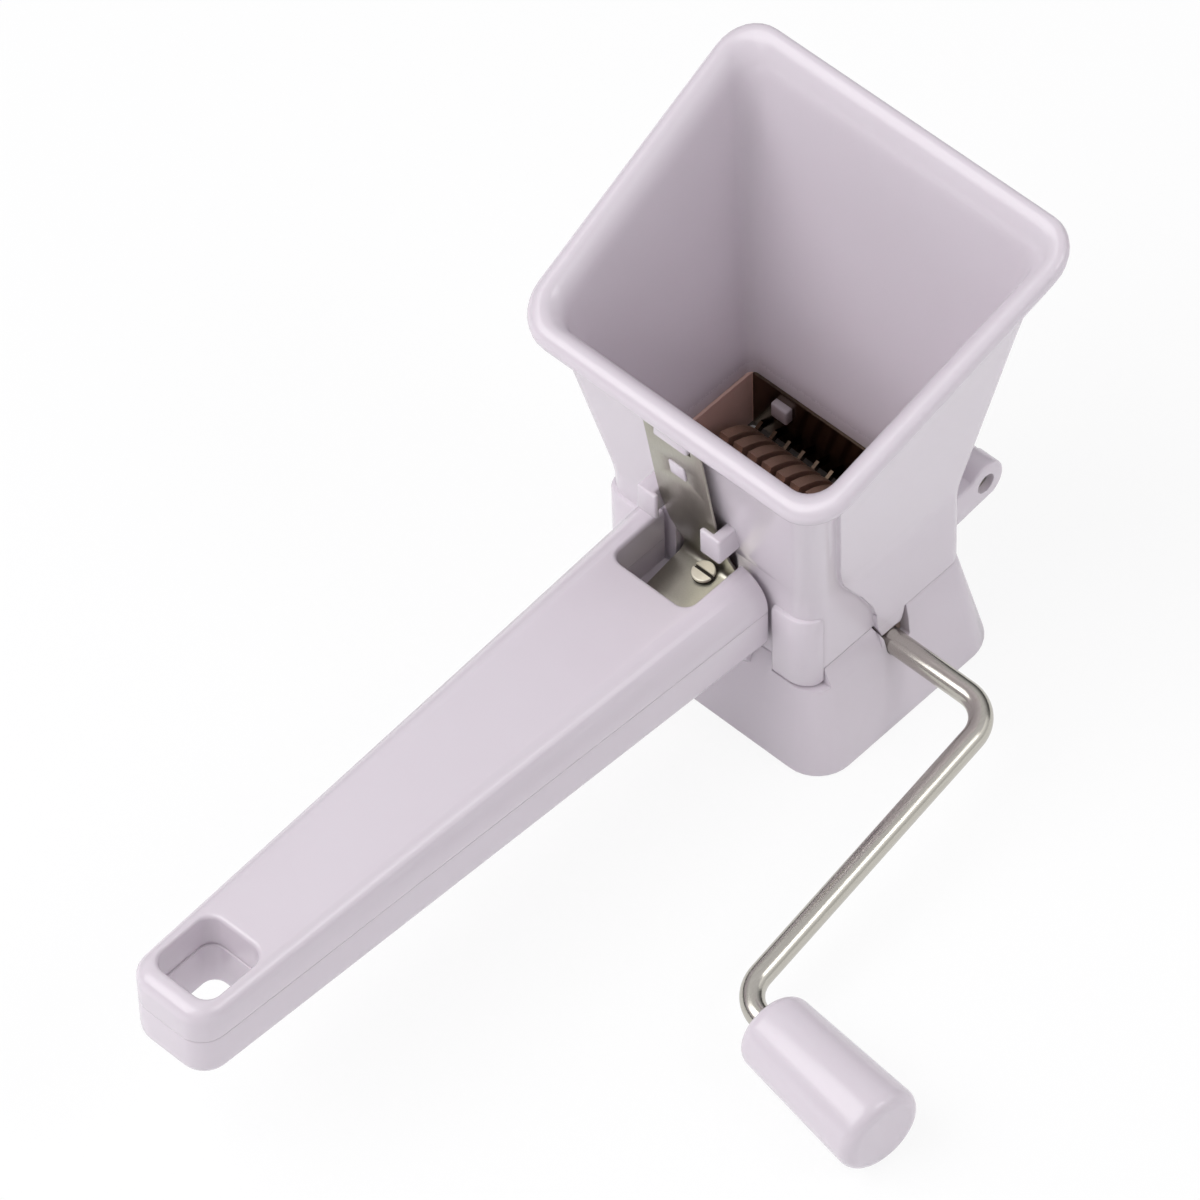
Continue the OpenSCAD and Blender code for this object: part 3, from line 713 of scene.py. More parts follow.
@dataclass
class Hopper:
    """Flared hopper with its bead, side panels, corner bands, guides, catch and hinge eyes.

    Outlines are places in X and Z. Fields that end in _y are distances from the middle plane.
    """

    half_x: float = 19.5
    half_y: float = 25.4
    wall: float = 2.2
    low_z: float = 22.15
    flare_z: float = 41.0
    flare_soft: float = 3.0
    slope_x: float = 0.188
    slope_y: float = 0.178
    mouth_z: float = 91.0
    tilt: float = 20.7
    bead_r: float = 2.2
    bead_centre: Point = (1.1, 0.0)
    bead_arc: Point = (-112.0, 140.0)
    lip: tuple[Point, ...] = ((-1.25, 0.55), (-1.75, -0.3), (-2.05, -1.3))
    rim_depth: float = 16.0
    back_r: float = 4.6
    front_r: float = 3.4
    mouth_r: float = 6.0
    corner_share: float = 0.6
    panel_step: float = 1.0
    panel_edge: tuple[Point, ...] = (
        (-40.0, 73.0), (-20.5, 80.2), (-18.9, 72.0), (-16.9, 62.0), (-14.6, 50.0), (-13.4, 45.6),
        (-12.0, 42.2), (-9.8, 38.6), (-7.2, 34.6), (-4.6, 29.6), (-3.2, 25.2), (-3.0, 20.0),
        (-40.0, 20.0),
    )
    tongue: tuple[Point, ...] = (
        (-2.1, 18.95), (1.3, 18.95), (2.5, 18.8), (3.1, 19.3), (3.5, 20.6), (3.8, 22.0),
        (3.8, 26.0), (-3.6, 26.0), (-3.2, 22.0),
    )
    catch: tuple[Point, ...] = ((-23.5, 68.0), (-26.9, 68.0), (-26.3, 64.1), (-23.5, 64.1))
    catch_y: float = 1.8
    channel: tuple[Point, ...] = (
        (-22.0, 20.0), (-17.4, 20.0), (-17.4, 38.0), (-19.4, 43.6), (-22.0, 47.0),
    )
    channel_y: float = 7.4
    stud: Spans = ((15.2, 18.5), (13.1, 16.9), (29.8, 33.4))
    rib: Spans = ((-18.5, -16.1), (-8.9, 8.9), (22.16, 44.0))
    tab: Spans = ((-28.3, -25.5), (-3.9, 3.9), (74.4, 79.0))
    strip_w: float = 13.2
    guide_x: Point = (-26.0, -19.5)
    guide_z: Point = (47.2, 53.3)
    hook_x: float = -24.9
    band_z: Point = (18.4, 36.4)
    band_proud: float = 1.0
    band_reach: float = 3.2
    hinge: Point = (29.1, 29.9)
    eye_r: float = 4.6
    eye_y: Point = (16.8, 21.8)
    bore_r: float = 2.05

    def spread(self, z: float, slope: float) -> float:
        """How far a wall has flared outwards at a height."""
        start, end = self.flare_z - self.flare_soft, self.flare_z + self.flare_soft
        if z <= start:
            return 0.0
        if z >= end:
            return slope * (z - self.flare_z)
        return slope * (z - start) ** 2 / (4 * self.flare_soft)

    def flare_heights(self, steps: Sequence[int]) -> list[float]:
        """Heights in the flare's soft start, in thirds of its half length from its middle."""
        return [self.flare_z + self.flare_soft * step / 3 for step in steps]

    def level_ring(self, z: float, inset: float) -> Ring:
        """Outline of the wall at a height, drawn in by inset."""
        x = self.half_x + self.spread(z, self.slope_x) - inset
        y = self.half_y + self.spread(z, self.slope_y) - inset
        grow = max(z - self.flare_z, 0) / (self.mouth_z - self.flare_z)
        back, front = (r + (self.mouth_r - r) * grow - inset * self.corner_share
                       for r in (self.back_r, self.front_r))
        return Ring(-x, x, y, y, back, front, z)

    def mouth_ring(self, out: float, up: float) -> Ring:
        """Outline parallel to the tilted mouth.

        Args:
            out: Distance outwards from the wall's outer face.
            up: Distance from the mouth's plane along its normal.

        Returns:
            The ring.
        """
        rise = math.tan(math.radians(self.tilt))
        height = self.mouth_z + up / math.cos(math.radians(self.tilt))
        reach = self.half_x + self.slope_x * (height - self.flare_z)
        front = reach / (1 - self.slope_x * rise)
        back = reach / (1 + self.slope_x * rise)
        flank = self.half_y + self.slope_y * (height - self.flare_z) + out
        in_plane = out * math.cos(math.radians(self.tilt))
        corner = max(self.mouth_r + out * self.corner_share, 1.0)
        return Ring(
            -back - in_plane, front + in_plane, flank - self.slope_y * rise * back,
            flank + self.slope_y * rise * front, corner, corner, height, rise,
        )

    def wall_mesh(self) -> Object:
        """Skins the walls and the bead in one ring of sections."""
        heights = [self.low_z] + self.flare_heights(range(-3, 4))
        rings = [self.level_ring(z, 0) for z in heights]
        rings += [self.mouth_ring(0, -depth) for depth in (self.rim_depth, 2.7)]
        bead = arc(self.bead_centre, self.bead_r, *self.bead_arc, 14)
        rings += [self.mouth_ring(out, up) for out, up in (*bead, *self.lip)]
        rings += [self.mouth_ring(-self.wall, -depth) for depth in (2.8, self.rim_depth)]
        rings += [self.level_ring(z, self.wall) for z in reversed(heights)]
        return skin(rings, "hopper_shell_look", capped=False)

    def panel_step_cutter(self) -> Object:
        """Cutter for the shallow step between the handle-side corners and the side panels.

        Its inner faces follow the recessed corner columns up the flare.
        """
        cutter = Bench.slab(self.panel_edge, -45, 45)
        rings = []
        for z in [15.0] + self.flare_heights((-3, -1, 0, 1, 3)) + [90.0]:
            ring = self.level_ring(z, 0)
            half = ring.back_half - self.panel_step
            rings.append(Ring(ring.back - 0.02, 40, half, half, ring.back_r, 1, z))
        Bench.combine(cutter, [skin(rings, "core")], Cut.TAKE)
        Bench.soften(cutter, 0.7, segments=4, angle=50)
        return cutter

    def additions(self) -> list[Object]:
        """Guides, tongues, studs, hinge eyes, bands, catch and lip, each a closed mesh."""
        made: list[Object] = []
        tongue_y = (self.half_y - self.wall + 0.1, self.half_y - 0.02)
        stud_x, stud_y, stud_z = self.stud
        for side in (-1, 1):
            made += [
                self.guide(side),
                Bench.slab(self.tongue, *span_y(side, *tongue_y)),
                Bench.box(stud_x, span_y(side, *stud_y), stud_z, 0.4),
                self.eye(side),
                self.band(side),
            ]
        catch = Bench.slab(self.catch, -self.catch_y, self.catch_y)
        Bench.soften(catch, 0.25, segments=2)
        return made + [Bench.box(*self.rib, 0.5), catch, Bench.box(*self.tab, 0.4)]

    def guide(self, side: int) -> Object:
        """Guide beside the strip, with a hook that reaches over the strip's edge."""
        edge = self.strip_w / 2
        reach = (edge - 2.2, edge + 2.5) if side < 0 else (edge - 0.7, edge + 3.8)
        guide = Bench.box(self.guide_x, span_y(side, *reach), self.guide_z)
        slot = Bench.box((self.hook_x, -18.0), span_y(side, 0.0, edge + 0.3), (46.0, 54.5))
        Bench.combine(guide, [slot], Cut.TAKE)
        Bench.soften(guide, 0.45, segments=3, angle=50)
        return guide

    def band(self, side: int) -> Object:
        """Corner band on one side that laps over the base."""
        z_low, z_high = self.band_z
        flank = self.half_y - self.panel_step + 0.12
        front = -self.half_x + self.band_reach
        outer = Ring(-self.half_x - self.band_proud, front, flank, flank, self.back_r + 0.4, 0.4, 0)
        rim = ((0.9, 0.0), (0.3, 0.25), (0.0, 0.9))
        rings = [outer.drawn_in(inset, z_low + up) for inset, up in rim]
        rings += [outer.drawn_in(inset, z_high - down) for inset, down in reversed(rim)]
        band = skin(rings, "band")
        core = Ring(-self.half_x, self.half_x, flank, flank, self.back_r, 1, 0)
        cores = ((0.3, z_low - 3, self.low_z), (1.0, self.low_z - 1, z_high + 3))
        Bench.combine(band, [
            skin([core.drawn_in(inset, low), core.drawn_in(inset, high)], "core")
            for inset, low, high in cores
        ], Cut.TAKE)
        keep = Bench.box((-self.half_x - 3, front), span_y(side, 16.1, self.half_y + 3),
                         (z_low - 2, z_high + 2))
        Bench.combine(band, [keep], Cut.KEEP)
        return band

    def eye(self, side: int) -> Object:
        """One hinge eye with its web."""
        z = self.hinge[1]
        outline = [(18.6, z + 3.2), (23.0, z + 2.6)]
        outline += arc(self.hinge, self.eye_r, 140, -62, 24) + [(18.6, 24.6)]
        eye = Bench.slab(outline, *span_y(side, *self.eye_y))
        Bench.soften(eye, 0.5, segments=3, angle=40)
        return eye

    def build(self, plastic: Material) -> None:
        """Makes the hopper and puts it in place."""
        shell = self.wall_mesh()
        Bench.combine(shell, [self.panel_step_cutter()], Cut.TAKE)
        Bench.combine(shell, self.additions(), Cut.ADD)
        channel = Bench.slab(self.channel, -self.channel_y, self.channel_y)
        Bench.soften(channel, 0.5, segments=3, angle=50)
        x, z = self.hinge
        pin = Bench.rod(metres(x, -30, z), metres(x, 30, z), self.bore_r)
        Bench.combine(shell, [channel, pin], Cut.TAKE)
        stand_for(shell, "hopper_shell_look", plastic, "hopper", ["hopper_shell"])


@dataclass
class Base:
    """Skirt, lower handle shell, hinge knuckles and shaft notches in one moulding."""

    half_x: float = 19.5
    half_y: float = 25.4
    foot_x: float = 24.0
    foot_y: float = 30.7
    foot_r: float = 7.5
    back_r: float = 4.6
    front_r: float = 3.4
    wall: float = 2.2
    top_z: float = 22.0
    shaft_z: float = 16.5
    notch_r: float = 2.3
    web: tuple[Point, ...] = (
        (-19.8, 15.4), (-28.0, 25.4), (-28.0, 27.0), (-21.2, 27.0), (-21.0, 21.6), (-18.6, 21.6),
    )
    web_y: float = 11.0
    seat: tuple[Point, ...] = ((-21.4, 31.6), (-34.6, 29.2), (-34.6, 28.0), (-21.4, 28.0))
    seat_y: float = 6.3
    blend_z: float = 17.0
    hinge: Point = (29.1, 29.9)
    knuckle_r: float = 4.4
    knuckle_y: Point = (10.5, 16.5)
    bore_r: float = 2.05

    def skirt_ring(self, z: float, inset: float) -> Ring:
        """Outline of the skirt at a height, drawn in by inset."""
        share = z / self.top_z
        x = self.foot_x + (self.half_x - self.foot_x) * share - inset
        y = self.foot_y + (self.half_y - self.foot_y) * share - inset
        back, front = (self.foot_r + (r - self.foot_r) * share - inset * 0.7
                       for r in (self.back_r, self.front_r))
        return Ring(-x, x, y, y, back, front, z)

    def skirt(self) -> Object:
        """Open skirt with softened rims."""
        top, wall = self.top_z, self.wall
        sections = ((0.0, 0.5), (0.15, 0.15), (0.5, 0), (top - 0.4, 0), (top - 0.1, 0.12),
                    (top, 0.4), (top, wall), (0.5, wall), (0.0, wall - 0.5))
        rings = [self.skirt_ring(z, inset) for z, inset in sections]
        return skin(rings, "base_shell_look", capped=False)

    def notch(self) -> Object:
        """Cutter for the notches that the shaft drops into."""
        z = self.shaft_z
        outline = [(4.3, 24.0), (-4.4, 24.0), (-3.7, 22.0), (-2.4, z + 2.4)]
        outline += arc((0, z), self.notch_r, 180, 328, 14) + [(3.5, z - 0.6), (4.0, z + 2.6)]
        return Bench.slab(outline, -34, 34)

    def rebates(self) -> list[Object]:
        """Cutters for the corners that the hopper's bands lap over."""
        made = []
        flank = self.half_y - 1.4
        for side in (-1, 1):
            block = Bench.box((-27, -16.1), span_y(side, 15.8, 34), (18.2, 26))
            core = Ring(-self.half_x + 0.5, self.half_x, flank, flank, self.back_r - 0.4, 2, 0)
            rings = [core.drawn_in(0, z) for z in (16, 28)]
            Bench.combine(block, [skin(rings, "core")], Cut.TAKE)
            made.append(block)
        return made

    def corner_blend(self) -> Object:
        """Cutter that leans the rim back to the hopper's recessed corners, clear of the notches."""
        low_z = self.blend_z
        block = Bench.box((-40, -3.2), (-45, 45), (low_z, 30))
        lean, level = self.skirt_ring(low_z, -0.03).back_half, self.half_y - 1.0
        sections = ((lean, low_z - 0.5), (lean, low_z), (level, self.top_z), (level, 31))
        core = [Ring(-50, 30, half, half, 1, 1, z) for half, z in sections]
        Bench.combine(block, [skin(core, "core")], Cut.TAKE)
        return block

    def knuckle(self, side: int) -> Object:
        """One hinge knuckle on its arm."""
        outline = [(20.2, 14.2)] + arc(self.hinge, self.knuckle_r, -42, 160, 22)
        outline += [(21.0, 21.7), (19.0, 21.7)]
        knuckle = Bench.slab(outline, *span_y(side, *self.knuckle_y))
        Bench.soften(knuckle, 0.45, segments=3, angle=40)
        return knuckle

    def build(self, handle: "Handle", plastic: Material) -> None:
        """Makes the base and puts it in place."""
        base = self.skirt()
        web = Bench.slab(self.web, -self.web_y, self.web_y)
        Bench.soften(web, 0.6, segments=3, angle=50)
        Bench.combine(base, [web, self.knuckle(-1), self.knuckle(1)], Cut.ADD)
        inner = skin([self.skirt_ring(z, self.wall + 0.02) for z in (-2, 24)], "inner")
        Bench.combine(base, [inner, self.notch(), self.corner_blend()] + self.rebates(), Cut.TAKE)
        seat = Bench.slab(self.seat, -self.seat_y, self.seat_y)
        Bench.combine(base, [handle.lower_shell(), seat], Cut.ADD)
        x, z = self.hinge
        pin = Bench.rod(metres(x, -18, z), metres(x, 18, z), self.bore_r)
        Bench.combine(base, [pin], Cut.TAKE)
        stand_for(base, "base_shell_look", plastic, "base", ["base_shell"])


@dataclass
class Handle:
    """Two handle shells that meet at a fine parting line, with the hang hole and latch pocket."""

    root: float = 20.75
    reach: float = 154.0
    root_half: float = 15.7
    end_half: float = 9.0
    low: float = 25.2
    split: float = 35.0
    top: float = 42.6
    edge: float = 2.6
    end_r: float = 5.0
    hang: Point = (135.8, 149.8)
    hang_half: float = 6.7
    hang_step: float = 0.35
    pocket: Point = (21.0, 34.3)
    pocket_half: float = 8.9
    pocket_r: float = 2.4
    seat_z: float = 29.6
    parting: float = 0.05
    shoulder: float = 6.6
    rim_r: float = 0.9
    ring_gap: float = 0.02

    def plan(self, inset: float, z: float, root_inset: float | None = None) -> Ring:
        """The handle's outline drawn in by inset at a height; the root face stays.

        Args:
            inset: Distance that the far end and its sides are drawn in.
            z: Height of the outline.
            root_inset: Distance that the sides are drawn in at the root, if it differs.

        Returns:
            The ring.
        """
        root = inset if root_inset is None else root_inset
        return Ring(
            -self.reach + inset, -self.root, self.end_half - inset, self.root_half - root,
            max(self.end_r - inset, 0.4), 0.3, z,
        )

    @staticmethod
    def drawn(radius: float, depth: float) -> float:
        """Inset of a rounded edge of a radius at a depth below its face."""
        return radius - math.sqrt(max(radius ** 2 - (radius - min(depth, radius)) ** 2, 0.0))

    def half_shell(self, z_split: float, z_face: float, shoulder: float,
                   name: str) -> Object:
        """Outside of one shell, from the parting to its rounded face.

        Args:
            z_split: Height of the parting.
            z_face: Height of the flat face.
            shoulder: Radius of the long edges at the root; it fades to the common edge radius.
            name: Name of the result.

        Returns:
            The closed solid shell.
        """
        way = 1 if z_face > z_split else -1
        seam = ((0.12, 0.0), (0.03, 0.05), (0.0, 0.18))
        rings = [self.plan(inset, z_split + way * up) for inset, up in seam]
        turns = [(shoulder, angle) for angle in range(0, 91, 9)]
        turns += [(self.edge, angle) for angle in range(0, 90, 15)]
        depths: list[float] = []
        for depth in sorted({round(r * (1 - math.sin(math.radians(a))), 4) for r, a in turns}):
            if not depths or depth - depths[-1] >= self.ring_gap:
                depths.append(depth)
        for depth in reversed(depths):
            end, root = (self.drawn(radius, depth) for radius in (self.edge, shoulder))
            rings.append(self.plan(end, z_face - way * depth, root))
        return skin(rings, name)

    def hole(self, ends: Point, half: float, radius: float) -> Object:
        """Cutter for a rounded square hole with a flared mouth at the cover's top."""
        ring = Ring(-ends[1], -ends[0], half, half, radius, radius, 30)
        rings = [ring]
        for up in (0.0, 0.3, 0.6, 0.8, 0.9):
            wider = self.rim_r - math.sqrt(max(self.rim_r ** 2 - up ** 2, 0.0))
            rings.append(ring.drawn_in(-wider, self.top - self.rim_r + up))
        return skin(rings + [ring.drawn_in(-self.rim_r, self.top + 2)], "hole")

    def cover(self, plastic: Material) -> None:
        """Makes the upper shell and puts it in place."""
        name = "handle_cover_look"
        shell = self.half_shell(self.split + self.parting / 2, self.top, self.shoulder, name)
        pocket = self.hole((self.pocket[0] - 6, self.pocket[1]), self.pocket_half, self.pocket_r)
        hang = self.hole(self.hang, self.hang_half, 3.0)
        Bench.combine(shell, [pocket, hang], Cut.TAKE)
        stand_for(shell, name, plastic, "base", ["handle_cover"])

    def lower_shell(self) -> Object:
        """Outside of the lower shell with its holes, ready to be joined to the base."""
        seam_z = self.split - self.parting / 2
        shell = self.half_shell(seam_z, self.low, self.edge, "lower_handle")
        step, half, radius = self.hang_step, self.hang_half - self.hang_step, 2.8
        near, far = -self.hang[1] + step, -self.hang[0] - step
        hang = skin([Ring(near, far, half, half, radius, radius, z) for z in (20, 40)], "hang")
        near, far = -self.pocket[1], -self.pocket[0] + 3
        half, radius = self.pocket_half, self.pocket_r
        pocket = skin([Ring(near, far, half, half, radius, radius, z) for z in (self.seat_z, 40)],
                      "pocket")
        Bench.combine(shell, [hang, pocket], Cut.TAKE)
        return shell


@dataclass
class LatchStrip:
    """One bent spring-steel strip from its screwed foot to its notched top."""

    half_w: float = 6.6
    thick: float = 0.5
    face: tuple[Point, ...] = (
        (-28.0, 76.7), (-26.6, 68.0), (-25.4, 60.2), (-24.3, 53.6), (-23.8, 51.4), (-22.9, 47.8),
        (-21.7, 43.4), (-20.3, 39.6), (-19.1, 36.5), (-18.5, 34.9),
    )
    bend: Point = (-19.6, 33.74)
    bend_r: float = 1.2
    foot: Point = (-21.3, 32.2)
    foot_end: float = -32.0
    foot_slope: float = 0.187
    window: Spans = ((-32.0, -20.0), (-2.0, 2.0), (63.9, 68.2))
    notch: Spans = ((-34.0, -20.0), (-4.3, 4.3), (74.0, 80.0))
    flex_z: Point = (50.0, 74.0)

    def build(self, steel: Material) -> None:
        """Makes the strip."""
        inner = list(self.face) + arc(self.bend, self.bend_r, 0, -79.4, 8)
        for x in (-27.0, self.foot_end):
            inner.append((x, self.foot[1] + self.foot_slope * (x - self.foot[0])))
        centre = [Vector((x, 0, z)) for x, z in inner]
        back = []
        for i, spot in enumerate(centre):
            way = (centre[min(i + 1, len(centre) - 1)] - centre[max(i - 1, 0)]).normalized()
            back.append(spot + Vector((-way.z, 0, way.x)) * self.thick)
        outline = inner + [(p.x, p.z) for p in reversed(back)]
        strip = Bench.slab(outline, -self.half_w, self.half_w)
        window = Bench.box(*self.window)
        Bench.soften(window, 0.8, segments=4)
        Bench.combine(strip, [window, Bench.box(*self.notch)], Cut.TAKE)
        Bench.soften(strip, 0.1, segments=2, angle=40)
        Bench.finish(strip, 25)
        Bench.name(strip, "latch_strip")
        dress(strip, steel)
        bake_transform(strip)
        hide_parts("latch_blade", "latch_foot")
        log.info("latch_strip: %d faces", len(strip.data.polygons))


@dataclass
class Crank:
    """Bent wire crank and the knob on its end."""

    radius: float = 2.25
    shaft_z: float = 16.5
    far_y: float = 27.5
    out: float = 50.1
    arm_end: Place = (-71.118, -54.977, 8.8)
    bend_r: float = 7.0
    toe: float = 7.2
    knob_gap: float = 7.2
    knob_l: float = 30.8
    knob_r: Point = (7.25, 8.5)
    knob_soft: Point = (2.6, 2.7)
    dish: Point = (2.4, 0.1)
    bore_r: float = 2.34
    bore_l: float = 26.3

    def pin_way(self) -> Vector:
        """Direction of the knob's pin."""
        toe = math.radians(self.toe)
        return Vector((-math.sin(toe), -math.cos(toe), 0))

    def wire(self, steel: Material) -> None:
        """Sweeps the wire by extruding and spinning a disc along its route."""
        corners = [Vector((0, y, self.shaft_z)) for y in (self.far_y, -self.out)]
        corners.append(Vector(self.arm_end))
        corners.append(corners[2] + self.pin_way() * (self.knob_gap + 26))
        ways = [(b - a).normalized() for a, b in zip(corners, corners[1:])]
        wire = Bench.begin(
            bpy.ops.mesh.primitive_circle_add, vertices=40, radius=self.radius * MM,
            fill_type="NGON", location=corners[0] * MM,
            rotation=ways[0].to_track_quat("Z", "Y").to_euler(),
        )
        Bench.apply_place(wire)
        with Bench.editing(wire, "FACE"):
            bpy.ops.mesh.select_all(action="SELECT")
            here = corners[0]
            for i, way in enumerate(ways):
                last = i == len(ways) - 1
                turn = 0.0 if last else way.angle(ways[i + 1])
                back = self.bend_r * math.tan(turn / 2)
                stop = corners[i + 1] - way * back
                Bench.extrude((stop - here) * MM)
                if last:
                    break
                axis = way.cross(ways[i + 1]).normalized()
                centre = (stop + axis.cross(way) * self.bend_r) * MM
                bpy.ops.mesh.spin(steps=14, angle=-turn, center=centre, axis=axis)
                here = corners[i + 1] + ways[i + 1] * back
        stand_for(wire, "crank_wire_look", steel, "crank", ["crank_wire"], 40)

    def knob(self, plastic: Material) -> None:
        """Turns the knob: a slight taper, a soft open end and a crisper closed end."""
        knob = Bench.rod(Vector(), metres(0, 0, self.knob_l), self.knob_r[0], 72)
        end = self.knob_l * MM
        grow = self.knob_r[1] / self.knob_r[0]
        with Bench.editing(knob) as mesh:
            for vertex in mesh.verts:
                vertex.select = vertex.co.z > end / 2
            bpy.ops.transform.resize(value=(grow, grow, 1), center_override=(0, 0, end))
        for z, width, steps in zip((0.0, end), self.knob_soft, (8, 10)):
            with Bench.editing(knob, "EDGE") as mesh:
                for edge in mesh.edges:
                    edge.select = all(abs(v.co.z - z) < 1e-7 for v in edge.verts)
                bmesh.update_edit_mesh(knob.data)
                bpy.ops.mesh.bevel(offset=width * MM, segments=steps, profile=0.5)
        with Bench.editing(knob, "FACE") as mesh:
            for face in mesh.faces:
                level = face.calc_center_median().z
                face.select = face.normal.z > 0.999 and level > end - 1e-6
            bmesh.update_edit_mesh(knob.data)
            bpy.ops.mesh.inset(thickness=self.dish[0] * MM)
            bpy.ops.transform.translate(value=metres(0, 0, -self.dish[1]))
        bore = Bench.rod(metres(0, 0, -1), metres(0, 0, self.bore_l), self.bore_r)
        Bench.combine(knob, [bore], Cut.TAKE)
        way = self.pin_way()
        Bench.lay(knob, (Vector(self.arm_end) + way * self.knob_gap) * MM, way)
        stand_for(knob, "crank_knob_look", plastic, "knob", ["crank_knob"], 30)


@dataclass
class Screw:
    """Slotted screw on the strip's sloping foot."""

    place: Place = (-20.6, -0.3, 32.5)
    radius: float = 2.2
    height: float = 1.2
    lean: float = -10.6
    slot_half: float = 0.36
    slot_depth: float = 0.9
    shank_r: float = 1.2
    shank_l: float = 8.0

    def build(self, steel: Material) -> None:
        """Makes the screw upright and then leans it square to the foot."""
        head = Bench.rod(metres(0, 0, 0.03), metres(0, 0, self.height), self.radius)
        Bench.soften(head, 0.25, segments=4, angle=50)
        slot = Bench.box((-self.slot_half, self.slot_half), (-5, 5),
                         (self.height - self.slot_depth, 5))
        Bench.combine(head, [slot], Cut.TAKE)
        shank = Bench.rod(metres(0, 0, -self.shank_l), metres(0, 0, 0.2), self.shank_r, 24)
        Bench.combine(head, [shank], Cut.ADD)
        lean = Matrix.Rotation(math.radians(self.lean), 4, "Y")
        head.matrix_world = Matrix.Translation(metres(*self.place)) @ lean
        Bench.apply_place(head)
        stand_for(head, "latch_screw_look", steel, "base", ["latch_screw"])


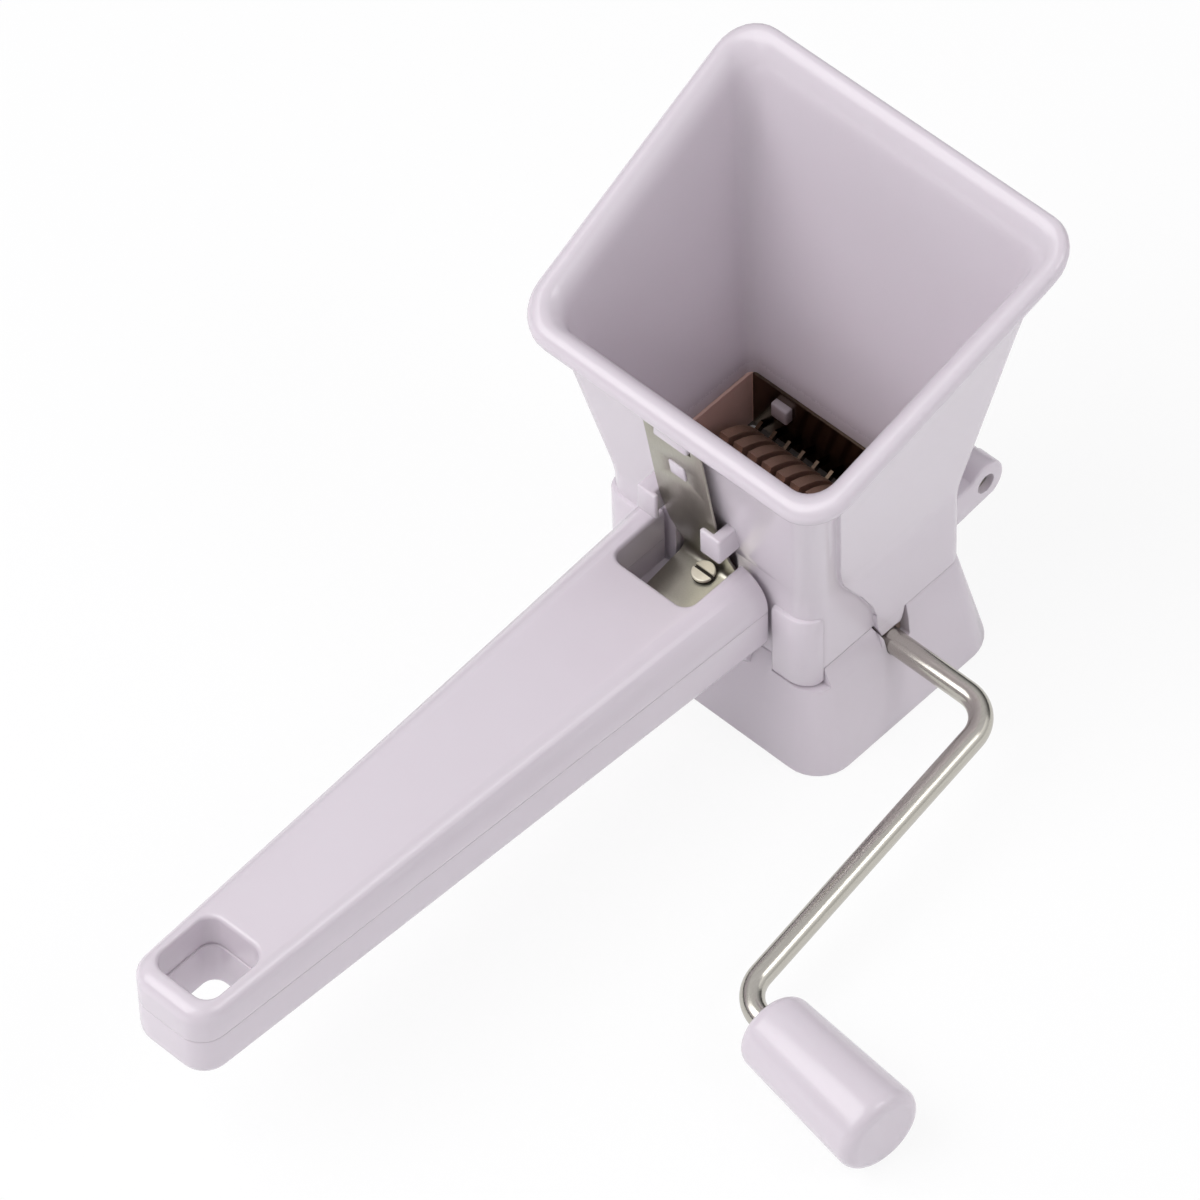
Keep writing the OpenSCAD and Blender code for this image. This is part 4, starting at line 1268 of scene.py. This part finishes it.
@dataclass
class Studio:
    """White sweep, soft lamps and the camera at the photograph's viewing angle.

    Attributes:
        aim: Where the camera looks, in millimetres.
        azimuth: Its bearing in degrees.
        elevation: Its height above the horizon in degrees.
        roll: Its turn about the line of sight in degrees.
        distance: Its distance in millimetres.
        lens: Focal length in millimetres.
        sensor: Width of the sensor in millimetres.
        fill: Strength of the world for matt surfaces.
        glow: Share of the floor that glows white to the camera.
        ceiling: Strength for shiny surfaces, low and high, and the heights between which it climbs.
        lamps: Name, place, side in millimetres and power in watts of each soft box.
    """

    aim: Place = (-61.54, -15.0, 75.75)
    azimuth: float = 45.34
    elevation: float = 51.46
    roll: float = -1.95
    distance: float = 1594.2
    lens: float = 284.34
    sensor: float = 36.0
    fill: float = 0.46
    glow: float = 0.88
    ceiling: tuple[float, ...] = (0.04, 0.85, 0.1, 0.85)
    lamps: tuple[tuple[str, Place, float, float], ...] = (
        ("key", (-620.0, 330.0, 850.0), 900.0, 8.0),
        ("crank_high", (220.0, -700.0, 800.0), 360.0, 1.5),
        ("crank_low", (420.0, -560.0, 200.0), 700.0, 1.0),
        ("handle_side", (-900.0, -250.0, 650.0), 900.0, 0.4),
    )

    def camera(self) -> None:
        """Places the camera."""
        az, el, roll = (math.radians(v) for v in (self.azimuth, self.elevation, self.roll))
        ahead = Vector((math.cos(el) * math.sin(az), math.cos(el) * math.cos(az), -math.sin(el)))
        right = Vector((math.cos(az), -math.sin(az), 0))
        up = right.cross(ahead)
        side = right * math.cos(roll) + up * math.sin(roll)
        top = up * math.cos(roll) - right * math.sin(roll)
        data = bpy.data.cameras.new("camera")
        data.lens = self.lens
        data.sensor_width = self.sensor
        data.sensor_fit = "HORIZONTAL"
        data.clip_start = 0.05
        camera = bpy.data.objects.new("camera", data)
        place = metres(*self.aim) - ahead * self.distance * MM
        turn = Matrix((side, top, -ahead)).transposed().to_4x4()
        camera.matrix_world = Matrix.Translation(place) @ turn
        bpy.context.scene.collection.objects.link(camera)
        bpy.context.scene.camera = camera

    def lamp(self, name: str, place: Place, size: float, power: float,
             target: Place = (-40.0, 0.0, 40.0)) -> None:
        """Adds a soft box.

        Args:
            name: Its name.
            place: Where it hangs, in millimetres.
            size: Side of the box in millimetres.
            power: Its power in watts.
            target: Where it points, in millimetres.
        """
        data = bpy.data.lights.new(name, "AREA")
        data.shape = "RECTANGLE"
        data.size = data.size_y = size * MM
        data.energy = power
        lamp = bpy.data.objects.new(name, data)
        way = metres(*target) - metres(*place)
        turn = way.to_track_quat("-Z", "Y").to_matrix().to_4x4()
        lamp.matrix_world = Matrix.Translation(metres(*place)) @ turn
        bpy.context.scene.collection.objects.link(lamp)

    def surroundings(self) -> None:
        """White for the camera, even fill for matt surfaces, and for shiny ones a bright ceiling
        over a dark horizon, which gives metal its contrast."""
        world = bpy.data.worlds.new("studio")
        bpy.context.scene.world = world
        world.use_nodes = True
        sky = Nodes(world.node_tree)
        ray = sky.add("ShaderNodeLightPath").outputs
        way = sky.add("ShaderNodeTexCoord").outputs["Generated"]
        height = sky.add("ShaderNodeSeparateXYZ", {"Vector": way}).outputs["Z"]
        low, high, start, end = self.ceiling
        ceiling = sky.add("ShaderNodeMapRange", {
            "Value": height, "From Min": start, "From Max": end, "To Min": low, "To Max": high,
        }, interpolation_type="SMOOTHSTEP")
        strength = sky.add("ShaderNodeMix", {0: ray["Is Glossy Ray"], 2: self.fill, 3: ceiling})
        white = sky.add("ShaderNodeBackground", {"Color": WHITE})
        fill = sky.add("ShaderNodeBackground", {"Color": linear("#F4F3F6"), "Strength": strength})
        both = sky.add("ShaderNodeMixShader", {"Fac": ray["Is Camera Ray"], 1: fill, 2: white})
        sky.add("ShaderNodeOutputWorld", {"Surface": both})

    def floor(self) -> None:
        """Pale floor that shows white to the camera but keeps the object's shadow."""
        floor = Bench.begin(bpy.ops.mesh.primitive_plane_add, size=6.0, location=(0, 0, -0.0002))
        Bench.apply_place(floor)
        Bench.name(floor, "floor")
        mix = Recipe("white_sweep")
        ray = mix.add("ShaderNodeLightPath").outputs
        seen = mix.add("ShaderNodeMath", {0: ray["Is Glossy Ray"], 1: 0.8,
                                          2: ray["Is Camera Ray"]}, operation="MULTIPLY_ADD")
        share = mix.add("ShaderNodeMath", {0: seen, 1: self.glow}, operation="MULTIPLY")
        glow = mix.add("ShaderNodeEmission", {"Color": WHITE, "Strength": 1.0})
        both = mix.add("ShaderNodeMixShader", {0: share, 1: mix.shader, 2: glow})
        mix.feed(mix.output, {"Surface": both})
        dress(floor, mix.surface({"Base Color": linear("#FBFBFC"), "Roughness": 0.9}))

    def build(self) -> None:
        """Sets up everything round the object."""
        self.camera()
        self.surroundings()
        self.floor()
        for lamp in self.lamps:
            self.lamp(*lamp)
        bpy.context.scene.view_settings.view_transform = "Standard"


def corners(bounds: Sequence[Sequence[float]]) -> list[list[float]]:
    """A box as plain lists of numbers."""
    return [[float(v) for v in corner] for corner in bounds]


def keep_solids(nodes: dict[str, Object], pin_steel: Material) -> None:
    """Gives the solids that stay their materials: hinge pin, comb, cutters and spacers.

    Args:
        nodes: The frame's solids by name.
        pin_steel: Material of the hinge pin.
    """
    cutter_steel = BrushedSteel("stamped_cutter_steel", "#C09C8A", "#957868", 0.36,
                                stretch=(1.0, 1.0, 1.0), metallic=0.45).make()
    dress(nodes["hinge_pin"], pin_steel)
    dress(nodes["comb_plate"], CombSteel().make())
    for name, node in nodes.items():
        if name.startswith(("cutter", "spacer", "end_spacer")):
            dress(node, cutter_steel)


def main() -> None:
    """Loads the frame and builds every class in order."""
    logging.basicConfig(level=logging.INFO, format="%(name)s: %(message)s")
    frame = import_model()
    plastic = MouldedPlastic().make()
    strip_steel = BrushedSteel("rolled_strip_steel", "#B9B6AA", "#A09C90", 0.36).make()
    wire_steel = BrushedSteel("drawn_wire_steel", "#C9C6BE", "#B5B1A7", 0.2,
                              stretch=(0.05, 1.0, 1.0)).make()
    Studio().build()
    handle, crank = Handle(), Crank()
    Hopper().build(plastic)
    Base().build(handle, plastic)
    handle.cover(plastic)
    LatchStrip().build(strip_steel)
    crank.wire(wire_steel)
    crank.knob(plastic)
    Screw().build(PlatedScrew().make())
    keep_solids(frame["nodes"], strip_steel)


if __name__ == "__main__":
    main()
